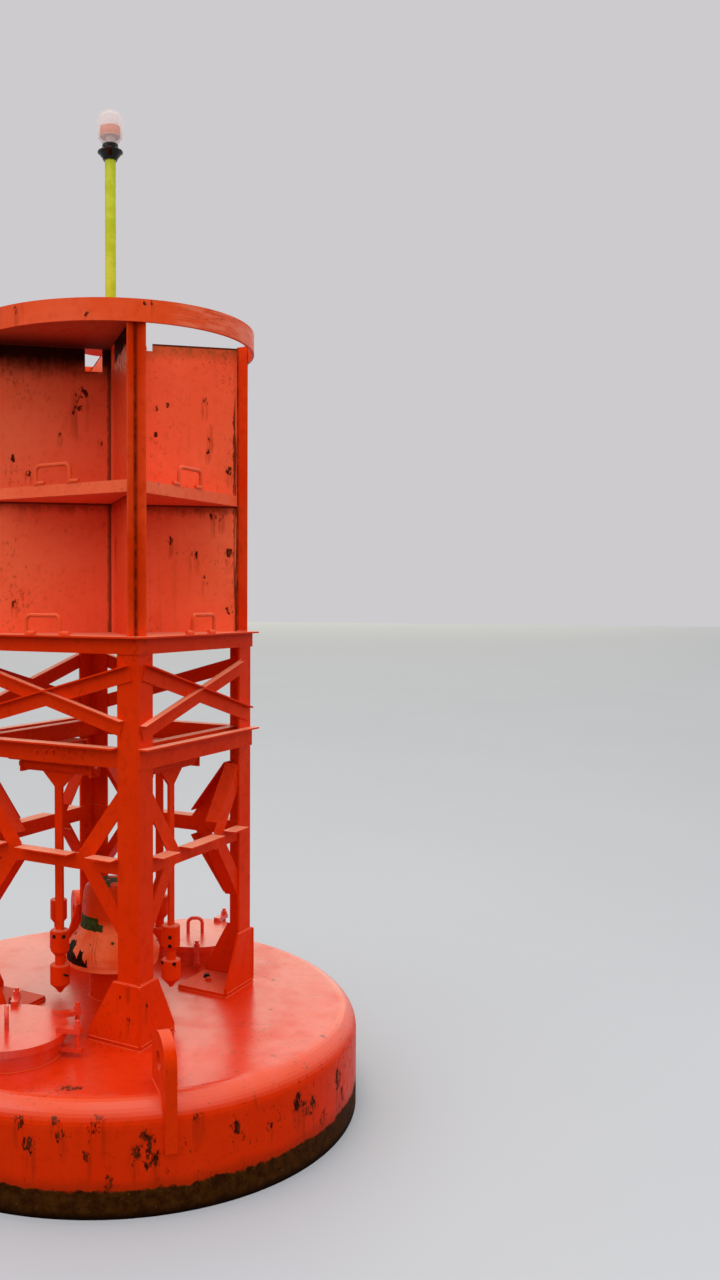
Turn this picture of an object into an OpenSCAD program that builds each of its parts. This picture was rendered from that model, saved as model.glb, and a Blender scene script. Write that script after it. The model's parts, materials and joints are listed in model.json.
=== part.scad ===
// Steel lighted bell buoy, afloat. Millimetres. The origin is on the buoy's axis at the waterline,
// +Z is up, and the faces of the square tower look along +X, -X, +Y and -Y.

/* [Hull] */
// Diameter of the hull
hull_d = 2438; // [2000:1:3000]
// Height of the deck above the water
deck_z = 460; // [350:1:600]
// Radius of the rounded deck edge
edge_r = 100; // [40:1:160]
// Depth of the hull's straight side below the water
side_depth = 1000; // [600:1:1400]
// Height of the cone under the straight side
cone_h = 480; // [300:1:700]
// Diameter of the tail tube
tail_d = 610; // [400:1:800]
// Depth of the whole buoy below the water
draft = 3075; // [2600:1:3600]
// Diameter of the counterweight
weight_d = 860; // [700:1:1100]
// Height of the counterweight
weight_h = 330; // [200:1:500]

/* [Lugs] */
// Thickness of a lifting lug
lift_t = 50; // [30:1:70]
// Length of a lifting lug along the deck's radius
lift_l = 235; // [180:1:300]
// Height of a lifting lug above the deck
lift_h = 240; // [180:1:320]
// Height of a lifting lug's lower end above the water
lift_low = 250; // [200:1:340]
// How far a lifting lug stands out past the hull's side
lift_out = 14; // [6:1:30]
// Diameter of a lifting lug's eye
lift_eye_d = 76; // [50:1:90]
// Turn of the lifting lugs from the tower's diagonal
lift_turn = 1.6; // [0:0.1:8]
// Thickness of a mooring lug
moor_t = 50; // [30:1:70]
// Distance of a mooring lug's eye from the buoy's axis
moor_at = 860; // [760:1:940]
// Width of a mooring lug
moor_w = 190; // [160:1:240]
// Reach of a mooring lug below the hull's straight side
moor_h = 420; // [380:1:480]
// Diameter of a mooring lug's eye
moor_eye_d = 80; // [50:1:100]

/* [Battery pockets] */
// Distance of each pocket's axis from the buoy's axis
pocket_at = 800; // [760:1:850]
// Outside diameter of a pocket tube
pocket_d = 500; // [440:1:520]
// Wall of a pocket tube
pocket_wall = 10; // [6:1:20]
// Height of the pocket's coaming above the deck
coaming_h = 84; // [60:1:120]
// Depth of a pocket below the deck
pocket_depth = 1150; // [700:1:1300]
// Diameter of a pocket lid
lid_d = 540; // [530:1:580]
// Thickness of the lid's plate
lid_t = 20; // [10:1:30]
// Height of the lid's rim
rim_h = 13; // [8:1:24]
// Width of the lid's handle
handle_w = 100; // [80:1:140]
// Height of the lid's handle
handle_h = 92; // [60:1:120]
// Diameter of the lid handle's bar
handle_d = 20; // [14:1:24]
// Turn of the handle on the two lids
handle_turn_s = 131; // [0:1:180]
// Turn of the handle on the other lid
handle_turn_n = 31; // [0:1:180]
// Distance of a hold-down screw from the pocket's axis
screw_at = 330; // [310:1:350]
// Diameter of a hold-down screw
screw_d = 22; // [16:1:30]
// Width of a hold-down finger
finger_w = 34; // [24:1:44]
// Thickness of a hold-down finger
finger_t = 22; // [14:1:30]
// Inner end of a hold-down finger, from the pocket's axis
finger_from = 238; // [200:1:260]

/* [Tower] */
// Half the side of the square tower, over its legs
half = 511; // [480:1:530]
// Width of a lower leg's angle
leg_w = 114; // [90:1:130]
// Thickness of a lower leg's angle
leg_t = 12; // [8:1:18]
// Height of the lower legs' tops above the water
leg_top = 2284; // [2100:1:2500]
// Top of the mid girt above the water
mid_z = 1798; // [1600:1:1950]
// Height of the mid girt's web
mid_h = 95; // [60:1:120]
// Height of the top girt's web
top_h = 78; // [60:1:120]
// Width of a girt's flange, out from the legs
girt_flange = 50; // [30:1:80]
// Thickness of a girt
girt_t = 8; // [6:1:12]
// Reach of the mid girt past the tower's corners on two faces
girt_lap = 4; // [1:1:10]
// Side of the foot plates, in from the corner
foot_w = 271; // [220:1:300]
// Thickness of the foot plates
foot_t = 20; // [12:1:30]
// Height of the gussets above the foot plates
gusset_h = 268; // [200:1:320]
// Width of a gusset at its top
gusset_top = 136; // [120:1:180]
// Thickness of a gusset
gusset_t = 12; // [8:1:16]

/* [Bracing] */
// Top of the strut in the lower bay
strut_z = 1300; // [1150:1:1400]
// Width of the strut's angle
strut_w = 75; // [50:1:90]
// Half the distance between the strut's nodes
node_x = 199; // [150:1:230]
// Depth of the nodes below the top of the strut
node_drop = 18; // [10:1:40]
// Width of a diagonal in the lower bay
diag_w = 75; // [50:1:80]
// Height of the upper diagonals' ends at the legs
diag_high = 1545; // [1480:1:1570]
// Height of the lower diagonals' ends at the legs
diag_low = 1010; // [950:1:1050]
// Width of the crossed braces in the upper bay
cross_w = 72; // [40:1:80]
// Height of the crossed braces' lower ends above the mid girt
cross_low = 61; // [50:1:90]
// Height of the crossed braces' upper ends below the top girt
cross_high = 70; // [50:1:110]
// Reach of the crossed braces' flanges, out from their flats
cross_flange = 35; // [20:1:60]
// Thickness of every brace
brace_t = 7; // [5:1:10]

/* [Bell] */
// Radius of the bell's mouth
mouth_r = 229; // [200:1:240]
// Height of the bell's mouth above the water
mouth_z = 640; // [600:1:680]
// Height of the bell
bell_h = 405; // [360:1:440]
// Wall of the bell above its lip
bell_wall = 20; // [14:1:28]
// Outside diameter of the bell's pedestal
pedestal_d = 234; // [180:1:236]

/* [Tappers] */
// Distance of a tapper's pivot from the buoy's axis
pivot_at = 375; // [360:1:400]
// Height of the pivots above the water
pivot_z = 1662; // [1620:1:1680]
// Sideways place of each tapper in its face
tap_shift = -38; // [-60:1:0]
// Diameter of a pivot tube
pivot_d = 58; // [50:1:64]
// Length of a pivot tube
pivot_l = 400; // [300:1:440]
// Diameter of a pivot pin
pin_d = 25; // [20:1:30]
// Play between a pin and its tube
pin_play = 0.5; // [0.3:0.1:1]
// Width of a tapper's arm
arm_w = 42; // [30:1:50]
// Thickness of a tapper's arm
arm_t = 14; // [10:1:20]
// Width of the web under a pivot tube
web_w = 200; // [140:1:240]
// Height of that web
web_h = 78; // [60:1:120]
// Distance of the bars that carry two of the tappers from the buoy's axis
bar_at = 443; // [420:1:480]
// Width of those bars' flanges
bar_flange = 52; // [40:1:60]
// Diameter of the hammer's upper block
block_d = 88; // [70:1:96]
// Diameter of the hammer's head
head_d = 94; // [80:1:100]
// Lowest point of a hammer above the water
tip_z = 580; // [560:1:620]

/* [Cage] */
// Half the distance between the heels of the cage legs
cage = 458; // [440:1:462]
// Thickness of a cage leg
cage_t = 6; // [5:1:8]
// Height of the cage legs' tops above the water
cage_top = 3736; // [3400:1:3900]
// Thickness of the plates in the cage
plate_t = 6; // [4:1:8]
// Height of the crossed plates' tops above the water
plate_top = 3730; // [3400:1:3800]
// Underside of the top plate above the water
lid_plate_z = 3688; // [3500:1:3720]
// Underside of the shelves above the water
shelf_z = 2929; // [2800:1:3100]
// Height of the shelves' edge bands
band_h = 54; // [30:1:70]
// Width of a rung
rung_w = 217; // [160:1:260]
// Height of a rung
rung_h = 100; // [70:1:130]
// Diameter of a rung's bar
rung_d = 19; // [12:1:20]
// Length of a rung's turned foot
rung_foot = 52; // [30:1:70]

/* [Ring] */
// Outside radius of the ring
ring_r = 709; // [706:1:740]
// Thickness of the ring
ring_t = 12.5; // [8:0.5:16]
// Height of the ring
ring_h = 98; // [70:1:120]
// Top of the ring above the water
ring_top = 3752; // [3740:1:3800]

/* [Mast and lantern] */
// Radius of the hub plate under the mast
hub_r = 178; // [130:1:200]
// Thickness of the hub plate
hub_t = 10; // [6:1:16]
// Outside diameter of the mast
mast_d = 54; // [48:1:61]
// Outside diameter of the mast's socket
socket_d = 89; // [70:1:100]
// Height of the mast's socket
socket_h = 150; // [100:1:200]
// Height of the lantern's base above the water
lantern_z = 4612; // [4400:1:4700]
// Diameter of the lantern's base
base_d = 125; // [110:1:140]
// Diameter of the lantern's lens
lens_d = 129; // [110:1:140]
// Height of the lens over the base
lens_h = 160; // [130:1:180]

/* [Hidden] */
$fn = 96;

red = [0.78, 0.20, 0.09];
lime = [0.73, 0.77, 0.18];
black = [0.05, 0.05, 0.05];
dark = [0.14, 0.10, 0.08];
bronze = [0.20, 0.24, 0.12];
clear = [0.85, 0.80, 0.80];

hull_r = hull_d / 2;
side_z = -side_depth;
tail_top = side_z - cone_h;
pocket_r = pocket_d / 2;
coaming_z = deck_z + coaming_h;
pocket_floor = deck_z - pocket_depth;
fit = 0.3;
lid_z = coaming_z + fit;
lid_top = lid_z + lid_t;
foot_top = deck_z + foot_t;
floor_z = leg_top;
floor_top = floor_z + plate_t;
mid_bottom = mid_z - mid_h;
girt_out = half + girt_flange;
leg_in = half - leg_t;
// the cage legs' flanges reach out to the inside of the ring
cage_w = sqrt(pow(ring_r - ring_t - fit, 2) - pow(cage + cage_t, 2)) - cage;
crown_z = mouth_z + bell_h;
crown_in = crown_z - 48;
// turn of each of the five hold-down screws round a lid, from the +X side
dog_angles = [18, 57, 123, 162, 270];
dog_lug_z = deck_z + 25;
dog_lug_t = 18;
// each face's compass letter, its turn about Z, and 1 where the mid girt lies on the legs and the
// rungs' feet point the other way
turn = [["s", 0, 0], ["e", 90, 1], ["n", 180, 0], ["w", 270, 1]];
// radius, height over the mouth as a part of the bell's height: the outside of the bell
bell_outside = [[1.000, 0.00], [1.005, 0.04], [1.030, 0.085], [1.035, 0.165], [1.000, 0.215],
    [0.925, 0.275], [0.800, 0.355], [0.715, 0.44], [0.680, 0.51], [0.664, 0.64], [0.648, 0.74],
    [0.635, 0.85], [0.590, 0.93], [0.480, 0.98], [0.300, 1.00]];
head_top = tip_z + 135;
head_low = tip_z + 38;
block_top = tip_z + 302;
block_low = tip_z + 202;
arm_low = block_top;

module quarter_turns() { for (t = turn) rotate([0, 0, t[1]]) children(); }

// an angle section standing along Z, heel at the origin, flanges toward -X and +Y
module angle_section(w, t) {
    polygon([[0, 0], [-w, 0], [-w, t], [-t, t], [-t, w], [0, w]]);
}

// a flat brace in the plane Y = 0 from point a to point b, thickness toward +Y, with a flange
// along its upper edge that stands toward -Y, or toward +Y where it is inward; its two ends are
// cut back by the lengths in cut
module brace(a, b, w, t, flange, cut = [0, 0], inward = false) {
    dx = b[0] - a[0];
    dz = b[1] - a[1];
    l = norm([dx, dz]);
    translate([a[0], 0, a[1]]) rotate([0, -atan2(dz, dx), 0]) {
        translate([0, 0, -w / 2]) cube([l, t, w]);
        translate([cut[0], inward ? 0 : t - flange, w / 2 - t])
            cube([l - cut[0] - cut[1], flange, t]);
    }
}

// the hull's outline from its axis, as radius and height
function arc(cx, cz, r, a0, a1, n) = [for (i = [0:n]) let (a = a0 + (a1 - a0) * i / n)
    [cx + r * cos(a), cz + r * sin(a)]];
module hull_outline(grow = 0) {
    polygon(concat([[0, deck_z + grow]],
        arc(hull_r - edge_r, deck_z - edge_r, edge_r + grow, 90, 0, 10),
        [[hull_r + grow, side_z], [tail_d / 2 + 60, tail_top], [0, tail_top]]));
}

module hull() {
    color(red) difference() {
        rotate_extrude($fn = 144) hull_outline();
        for (s = [-1, 1]) translate([0, s * pocket_at, pocket_floor - pocket_wall - fit])
            cylinder(r = pocket_r + fit, h = pocket_depth + pocket_wall + 10);
    }
}

module tail_tube() {
    color(dark) translate([0, 0, -draft + weight_h]) cylinder(d = tail_d, h = draft - weight_h + tail_top);
}

module counterweight() {
    color(dark) translate([0, 0, -draft]) {
        cylinder(d1 = weight_d - 80, d2 = weight_d, h = 40);
        translate([0, 0, 40]) cylinder(d = weight_d, h = weight_h - 80);
        translate([0, 0, weight_h - 40]) cylinder(d1 = weight_d, d2 = weight_d - 80, h = 40);
    }
}

module lug_plate(l, h, t, eye) {
    rotate([90, 0, 0]) translate([0, 0, -t / 2]) linear_extrude(t) difference() {
        union() {
            square([l, h - l / 2]);
            translate([l / 2, h - l / 2]) circle(d = l);
        }
        translate([l / 2, h - l / 2]) circle(d = eye);
    }
}

module lifting_lugs() {
    color(red) for (a = [0, 180]) rotate([0, 0, a - 45 + lift_turn]) difference() {
        translate([hull_r + lift_out - lift_l, 0, lift_low])
            lug_plate(lift_l, deck_z + lift_h - lift_low, lift_t, lift_eye_d);
        rotate_extrude() hull_outline();
    }
}

module mooring_lugs() {
    color(dark) for (a = [0, 180]) rotate([0, 0, a]) difference() {
        translate([moor_at - moor_w / 2, 0, side_z]) mirror([0, 0, 1])
            lug_plate(moor_w, moor_h, moor_t, moor_eye_d);
        rotate_extrude() hull_outline();
    }
}

module pocket() {
    difference() {
        union() {
            translate([0, 0, pocket_floor - pocket_wall])
                cylinder(r = pocket_r, h = coaming_z - pocket_floor + pocket_wall);
            for (a = dog_angles) rotate([0, 0, a])
                translate([pocket_r - 8, -finger_w / 2, dog_lug_z])
                    cube([screw_at + screw_d - pocket_r + 8, finger_w, dog_lug_t]);
        }
        translate([0, 0, pocket_floor]) cylinder(r = pocket_r - pocket_wall, h = 2 * pocket_depth);
    }
}
module battery_pocket_s() { color(red) translate([0, -pocket_at, 0]) pocket(); }
module battery_pocket_n() { color(red) mirror([0, 1, 0]) translate([0, -pocket_at, 0]) pocket(); }

// a bar bent to a staple, standing on z = 0 in the plane Y = 0
module staple(w, h, d, bend, foot) {
    x = w / 2 - d / 2;
    for (s = [-1, 1]) {
        translate([s * x, 0, 0]) cylinder(d = d, h = h - d / 2 - bend, $fn = 32);
        translate([s * (x - bend), 0, h - d / 2 - bend]) rotate([90, 0, 0])
            rotate([0, 0, s > 0 ? 0 : 90]) rotate_extrude(angle = 90, $fn = 32)
                translate([bend, 0]) circle(d = d, $fn = 24);
        if (foot > 0) {
            translate([s * x, 0, d / 2]) rotate([0, 90, 0]) cylinder(d = d, h = foot, $fn = 24);
        }
    }
    translate([bend - x, 0, h - d / 2]) rotate([0, 90, 0]) cylinder(d = d, h = 2 * (x - bend), $fn = 24);
}

module lid(handle_turn) {
    translate([0, 0, lid_z]) {
        cylinder(d = lid_d, h = lid_t);
        translate([0, 0, -rim_h]) difference() {
            cylinder(d = lid_d, h = rim_h);
            translate([0, 0, -1]) cylinder(r = pocket_r + 5.5, h = rim_h + 1);
        }
        translate([0, 0, lid_t]) rotate([0, 0, handle_turn]) staple(handle_w, handle_h, handle_d, 30, 0);
    }
}
module pocket_lid_s() { color(red) translate([0, -pocket_at, 0]) lid(handle_turn_s); }
module pocket_lid_n() { color(red) translate([0, pocket_at, 0]) lid(handle_turn_n); }

module dogs() {
    for (a = dog_angles) rotate([0, 0, a]) {
        translate([finger_from, -finger_w / 2, lid_top])
            cube([screw_at + finger_w / 2 - finger_from, finger_w, finger_t]);
        translate([screw_at, 0, dog_lug_z + dog_lug_t + fit])
            cylinder(d = screw_d, h = lid_top + finger_t + 34 - dog_lug_z - dog_lug_t, $fn = 32);
        translate([screw_at, 0, lid_top + finger_t]) cylinder(d = 1.7 * screw_d, h = 18, $fn = 6);
    }
}
module lid_dogs_s() { color(red) translate([0, -pocket_at, 0]) dogs(); }
module lid_dogs_n() { color(red) mirror([0, 1, 0]) translate([0, -pocket_at, 0]) dogs(); }

module bell_pedestal() {
    color(red) translate([0, 0, deck_z]) cylinder(d = pedestal_d, h = crown_in - deck_z);
}

module bell() {
    outside = [for (p = bell_outside) [p[0] * mouth_r, mouth_z + p[1] * bell_h]];
    inside = [for (i = [len(bell_outside) - 1:-1:1]) let (p = bell_outside[i])
        [max(p[0] * mouth_r - bell_wall, 0), min(mouth_z + p[1] * bell_h - 0.4 * bell_wall, crown_in)]];
    color(bronze) rotate_extrude() polygon(concat([[0, crown_in], [0, crown_z]],
        [for (i = [len(outside) - 1:-1:0]) outside[i]], [[mouth_r - 26, mouth_z]],
        [for (i = [len(inside) - 1:-1:0]) if (inside[i][0] > 0 && inside[i][1] < crown_in) inside[i]],
        [[pedestal_d / 2 + 7, crown_in]]));
}

module leg() {
    translate([half, -half, foot_top]) linear_extrude(leg_top - foot_top) angle_section(leg_w, leg_t);
}
module leg_se() { color(red) leg(); }
module leg_ne() { color(red) rotate([0, 0, 90]) leg(); }
module leg_nw() { color(red) rotate([0, 0, 180]) leg(); }
module leg_sw() { color(red) rotate([0, 0, 270]) leg(); }

// a gusset's outline, from the corner along the face, its foot on the foot plate
module gusset() {
    linear_extrude(gusset_t) polygon([[0, 0], [-foot_w, 0], [-foot_w, 22],
        [-gusset_top, gusset_h], [0, gusset_h]]);
}
module leg_feet() {
    out = half + gusset_t;
    side = foot_w + gusset_t;
    color(red) quarter_turns() {
        translate([out - side, -out, deck_z]) cube([side, side, foot_t]);
        translate([half, -half, foot_top]) rotate([90, 0, 0]) gusset();
        translate([out, -half, foot_top]) rotate([90, 0, -90]) gusset_side();
    }
}
module gusset_side() {
    linear_extrude(gusset_t) polygon([[gusset_t, 0], [-foot_w, 0], [-foot_w, 22],
        [-gusset_top, gusset_h], [gusset_t, gusset_h]]);
}

// struts and diagonals inside the legs; the diagonals' flanges face inward and stop at the strut
module lower_bracing() {
    in = half - leg_w;
    node_z = strut_z - node_drop;
    up = (diag_high - node_z) / (in - node_x);
    down = (node_z - diag_low) / (in - node_x);
    reach = leg_in - brace_t - 2;
    lap = 36;
    stop = 56;
    // the strut's flange is left out where the diagonals pass in front of it
    before = node_x - 45;
    past = node_x + 54;
    color(red) for (t = turn) rotate([0, 0, t[1]]) translate([0, -leg_in, 0]) difference() {
        union() {
            translate([-reach, 0, strut_z - strut_w]) cube([2 * reach, brace_t, strut_w]);
            for (x = [[-reach, -past], [-before, before], [past, reach]])
                translate([x[0], brace_t - strut_w, strut_z - brace_t])
                    cube([x[1] - x[0], strut_w, brace_t]);
            for (m = [0, 1]) mirror([m, 0, 0]) {
                brace([node_x, node_z], [in + lap, diag_high + up * lap], diag_w, brace_t,
                    diag_w, [stop, 0], true);
                brace([in + lap, diag_low - down * lap], [node_x, node_z], diag_w, brace_t,
                    diag_w, [0, stop], true);
            }
        }
        for (s = [-1, 1]) translate([s > 0 ? in : -half - 200, -200, 0])
            cube([leg_w + 200, 200, leg_top]);
    }
}

// how far the crossed braces reach from the middle on the two kinds of face: foot and head of the
// one that rises toward +X, foot and head of the other; then how far the flanges of that head and
// that other foot are cut back
cross_ends = [[half - 89, half - 43, half - 89, half - 43, 0, 0],
    [half - 20, half - 91, half - 20, half - 36, 30, 20]];
module cross_bracing() {
    top = floor_top - top_h;
    low = mid_z + cross_low;
    high = top - cross_high;
    slope = (high - low) / (2 * half);
    color(red) for (t = turn) rotate([0, 0, t[1]]) translate([0, -half - brace_t, 0]) difference() {
        e = cross_ends[t[2]];
        for (m = [0, 1]) mirror([m, 0, 0]) {
            foot = e[2 * m];
            head = e[2 * m + 1];
            brace([-foot, low + slope * (half - foot)], [head, high - slope * (half - head)],
                cross_w, brace_t, cross_flange, m == 0 ? [0, e[4]] : [e[5], 0]);
        }
        translate([-half - 99, -200, top]) cube([2 * half + 198, 400, 400]);
        translate([-half - 99, -200, mid_z - 300]) cube([2 * half + 198, 400, 300]);
        for (s = [-1, 1]) translate([s > 0 ? half : -half - 99, -200, 0]) cube([99, 400, leg_top]);
    }
}

// the mid girt runs inside the legs on two faces, with its flange let out between them, and lies
// on the legs on the other two faces
module mid_girt() {
    long = 2 * (half + girt_lap);
    color(red) for (a = [0, 180]) rotate([0, 0, a]) {
        translate([-leg_in, -leg_in, mid_bottom]) cube([2 * leg_in, girt_t, mid_h]);
        translate([leg_w - half, -girt_out, mid_z - girt_t])
            cube([2 * (half - leg_w), girt_out - leg_in + girt_t, girt_t]);
        translate([half, -long / 2, mid_bottom]) cube([girt_t, long, mid_h]);
        translate([half, -long / 2, mid_z - girt_t]) cube([girt_flange, long, girt_t]);
    }
}

// the top girt lies on the legs all round: its flange stands out at the top with the corners cut off
module top_girt() {
    color(red) translate([0, 0, floor_top - top_h]) linear_extrude(top_h) difference() {
        square(2 * (half + girt_t), center = true);
        square(2 * half, center = true);
    }
    color(red) translate([0, 0, floor_top - girt_t]) linear_extrude(girt_t) difference() {
        polygon([for (q = [0:3]) each [for (p = [[-half, -girt_out], [half, -girt_out]])
            [p[0] * cos(90 * q) - p[1] * sin(90 * q), p[0] * sin(90 * q) + p[1] * cos(90 * q)]]]);
        square(2 * half, center = true);
    }
}

module cage_floor() {
    color(red) translate([-half, -half, floor_z]) cube([2 * half, 2 * half, plate_t]);
}

module cage_legs() {
    color(red) quarter_turns() translate([cage, -cage, floor_top]) linear_extrude(cage_top - floor_top)
        polygon([[0, 0], [cage_w, 0], [cage_w, -cage_t], [cage_t, -cage_t], [cage_t, -cage_w],
            [0, -cage_w]]);
}

// half of a crossed plate, from the axis outward, cut away round the mast's hub
notch = lid_plate_z + plate_t;
half_plate = [[cage * sqrt(2), floor_top], [cage * sqrt(2), plate_top], [hub_r + 32, plate_top],
    [hub_r + 32, notch], [129, notch], [129, notch - 117], [43, notch - 117], [43, notch]];

module reflector_long() {
    color(red) rotate([0, 0, 45]) rotate([90, 0, 0]) translate([0, 0, -plate_t / 2])
        linear_extrude(plate_t) polygon(concat(half_plate,
            [for (i = [len(half_plate) - 1:-1:0]) [-half_plate[i][0], half_plate[i][1]]]));
}
module reflector_cross() {
    color(red) for (a = [-45, 135]) rotate([0, 0, a]) difference() {
        rotate([90, 0, 0]) translate([0, 0, -plate_t / 2]) linear_extrude(plate_t)
            polygon(concat([[0, floor_top]], half_plate, [[0, notch]]));
        translate([-1, -plate_t, floor_z]) cube([1 + plate_t / 2, 2 * plate_t, plate_top]);
    }
}

// one quarter of a deck between the crossed plates, out to a straight edge
module quarter_outline(out) {
    g = plate_t / sqrt(2);
    side = cage - 1;
    polygon([[0, -g], [side, -side - g], [side, -out], [-side, -out], [-side, -side - g]]);
}
module mid_shelves() {
    out = cage + plate_t;
    color(red) quarter_turns() {
        translate([0, 0, shelf_z]) linear_extrude(plate_t) quarter_outline(out);
        translate([plate_t - cage, -out, shelf_z]) cube([2 * (cage - plate_t), plate_t, band_h]);
    }
}

module top_plate() {
    r = ring_r - ring_t - fit;
    g = plate_t / sqrt(2);
    color(red) translate([0, 0, lid_plate_z]) linear_extrude(plate_t) difference() {
        intersection() {
            circle(r = r, $fn = 144);
            polygon([[0, -g], [ring_r, -ring_r - g], [-ring_r, -ring_r - g]]);
        }
        for (s = [-1, 1]) translate([s > 0 ? cage - 1 : -cage - cage_w - 20, -cage - cage_w - 1])
            square([cage_w + 21, cage_w + 21]);
    }
}

module mast_hub() {
    color(red) translate([0, 0, lid_plate_z + plate_t]) cylinder(r = hub_r, h = hub_t);
}

module ring() {
    color(red) translate([0, 0, ring_top - ring_h]) difference() {
        cylinder(r = ring_r, h = ring_h, $fn = 144);
        translate([0, 0, -1]) cylinder(r = ring_r - ring_t, h = ring_h + 2, $fn = 144);
    }
}

module rungs() {
    color(red) for (t = turn) rotate([0, 0, t[1]]) mirror([t[2], 0, 0]) {
        translate([0, -cage - plate_t / 2, shelf_z + band_h]) staple(rung_w, rung_h, rung_d, 28, rung_foot);
        translate([0, -half - girt_flange / 2, floor_top]) staple(rung_w, rung_h, rung_d, 28, rung_foot);
    }
}

module mast_socket() {
    base = lid_plate_z + plate_t + hub_t;
    color(red) translate([0, 0, base]) difference() {
        cylinder(d = socket_d, h = socket_h);
        translate([0, 0, 12]) cylinder(d = mast_d + 2 * fit, h = socket_h);
    }
}

module mast() {
    base = lid_plate_z + plate_t + hub_t + 12;
    color(lime) translate([0, 0, base]) cylinder(d = mast_d, h = lantern_z - base);
}

module lantern_base() {
    r = base_d / 2;
    color(black) translate([0, 0, lantern_z]) rotate_extrude() polygon([[0, 0], [mast_d / 2 + 7, 0],
        [0.64 * r, 12], [r - 8, 30], [r, 37], [r, 42], [r - 8, 49], [42, 57], [40, 75], [37, 78], [0, 78]]);
}

module lantern_lens() {
    z = lantern_z + 78;
    r = lens_d / 2;
    color(clear) translate([0, 0, z]) rotate_extrude() difference() {
        polygon([[0, 0], [36, 0], [48, 10], [r - 3, 30], [r, 48], [r, 100], [r - 6, lens_h - 32],
            [r - 20, lens_h - 11], [r - 38, lens_h], [0, lens_h]]);
        polygon([[-1, -1], [31, -1], [31, 4], [45, 14], [r - 8, 33], [r - 5, 49], [r - 5, 99],
            [r - 11, lens_h - 35], [r - 24, lens_h - 17], [r - 41, lens_h - 5], [-1, lens_h - 5]]);
    }
}

module lantern_optic() {
    color([0.8, 0.45, 0.35]) translate([0, 0, lantern_z + 78]) {
        cylinder(d = 50, h = 36);
        translate([0, 0, 36]) cylinder(d = 96, h = 54);
        translate([0, 0, 90]) cylinder(d = 30, h = 10);
    }
}

// brackets that carry the tappers: two hang from the mid girt's webs, and two from angle bars that
// span between those webs
module tapper_hangers() {
    bar_l = 2 * (leg_in - girt_t);
    cheek = 12;
    gap = 1;
    back = pivot_at - pivot_d / 2 - 6;
    plate_z = pivot_z + pivot_d / 2 + 6;
    end = pivot_l / 2 + gap;
    color(red) for (t = turn) rotate([0, 0, t[1]]) translate([tap_shift, 0, 0]) {
        web = t[2] == 0 ? leg_in - girt_t : bar_at;
        translate([-end - cheek, -web, plate_z]) cube([2 * (end + cheek), web - back, 8]);
        if (t[2] == 1) translate([-tap_shift, -bar_at, 0]) {
            translate([-bar_l / 2, 0, plate_z + 8]) cube([bar_l, girt_t, mid_z - plate_z - 8]);
            translate([-bar_l / 2, 0, mid_z - girt_t]) cube([bar_l, bar_flange, girt_t]);
        }
        for (s = [-1, 1]) {
            translate([s > 0 ? end : -end - cheek, -pivot_at - 34, pivot_z - 34])
                cube([cheek, 68, plate_z - pivot_z + 34]);
            translate([s * (end + cheek), -pivot_at, pivot_z]) rotate([0, s * 90, 0])
                cylinder(d = 40, h = 20, $fn = 6);
        }
        translate([-end - cheek, -pivot_at, pivot_z]) rotate([0, 90, 0])
            cylinder(d = pin_d, h = 2 * (end + cheek));
    }
}

module tapper() {
    translate([tap_shift, -pivot_at, 0]) {
        difference() {
            union() {
                translate([-pivot_l / 2, 0, pivot_z]) rotate([0, 90, 0]) cylinder(d = pivot_d, h = pivot_l);
                translate([0, arm_t / 2, 0]) rotate([90, 0, 0]) linear_extrude(arm_t)
                    polygon([[-web_w / 2, pivot_z - 20], [web_w / 2, pivot_z - 20],
                        [arm_w / 2, pivot_z - 20 - web_h], [arm_w / 2, arm_low], [-arm_w / 2, arm_low],
                        [-arm_w / 2, pivot_z - 20 - web_h]]);
            }
            translate([-pivot_l, 0, pivot_z]) rotate([0, 90, 0])
                cylinder(d = pin_d + 2 * pin_play, h = 2 * pivot_l);
        }
    }
}
module tapper_s() { color(red) tapper(); }
module tapper_e() { color(red) rotate([0, 0, 90]) tapper(); }
module tapper_n() { color(red) rotate([0, 0, 180]) tapper(); }
module tapper_w() { color(red) rotate([0, 0, 270]) tapper(); }

module hammer() {
    n = block_d / 2 - 20;
    translate([tap_shift, -pivot_at, 0]) rotate_extrude() polygon([[0, tip_z], [8, tip_z],
        [26, tip_z + 24], [head_d / 2 - 4, head_low], [head_d / 2, head_low + 6],
        [head_d / 2, head_top - 4], [head_d / 2 - 4, head_top], [n, head_top],
        [n, block_low - 24], [block_d / 2, block_low], [block_d / 2, block_top - 4],
        [block_d / 2 - 4, block_top], [0, block_top]]);
}
module hammer_s() { color(red) hammer(); }
module hammer_e() { color(red) rotate([0, 0, 90]) hammer(); }
module hammer_n() { color(red) rotate([0, 0, 180]) hammer(); }
module hammer_w() { color(red) rotate([0, 0, 270]) hammer(); }

hull();
tail_tube();
counterweight();
mooring_lugs();
lifting_lugs();
battery_pocket_s();
battery_pocket_n();
bell_pedestal();
bell();
leg_se();
leg_ne();
leg_nw();
leg_sw();
leg_feet();
lower_bracing();
cross_bracing();
mid_girt();
top_girt();
cage_floor();
cage_legs();
reflector_long();
reflector_cross();
mid_shelves();
top_plate();
mast_hub();
ring();
rungs();
mast_socket();
mast();
lantern_base();
lantern_lens();
lantern_optic();
tapper_hangers();
tapper_s();
tapper_e();
tapper_n();
tapper_w();
hammer_s();
hammer_e();
hammer_n();
hammer_w();
pocket_lid_s();
pocket_lid_n();
lid_dogs_s();
lid_dogs_n();
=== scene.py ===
"""A steel lighted bell buoy, afloat, dressed over its fixed frame.

The frame brings every structural solid. This script gives each of them a weathered finish and adds the
small work that only the eye needs: weld beads, bolts, the ribs of the lantern's optic and the like.
Lengths are metres, +Z is up, the origin is on the buoy's axis at the waterline.
"""

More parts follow.
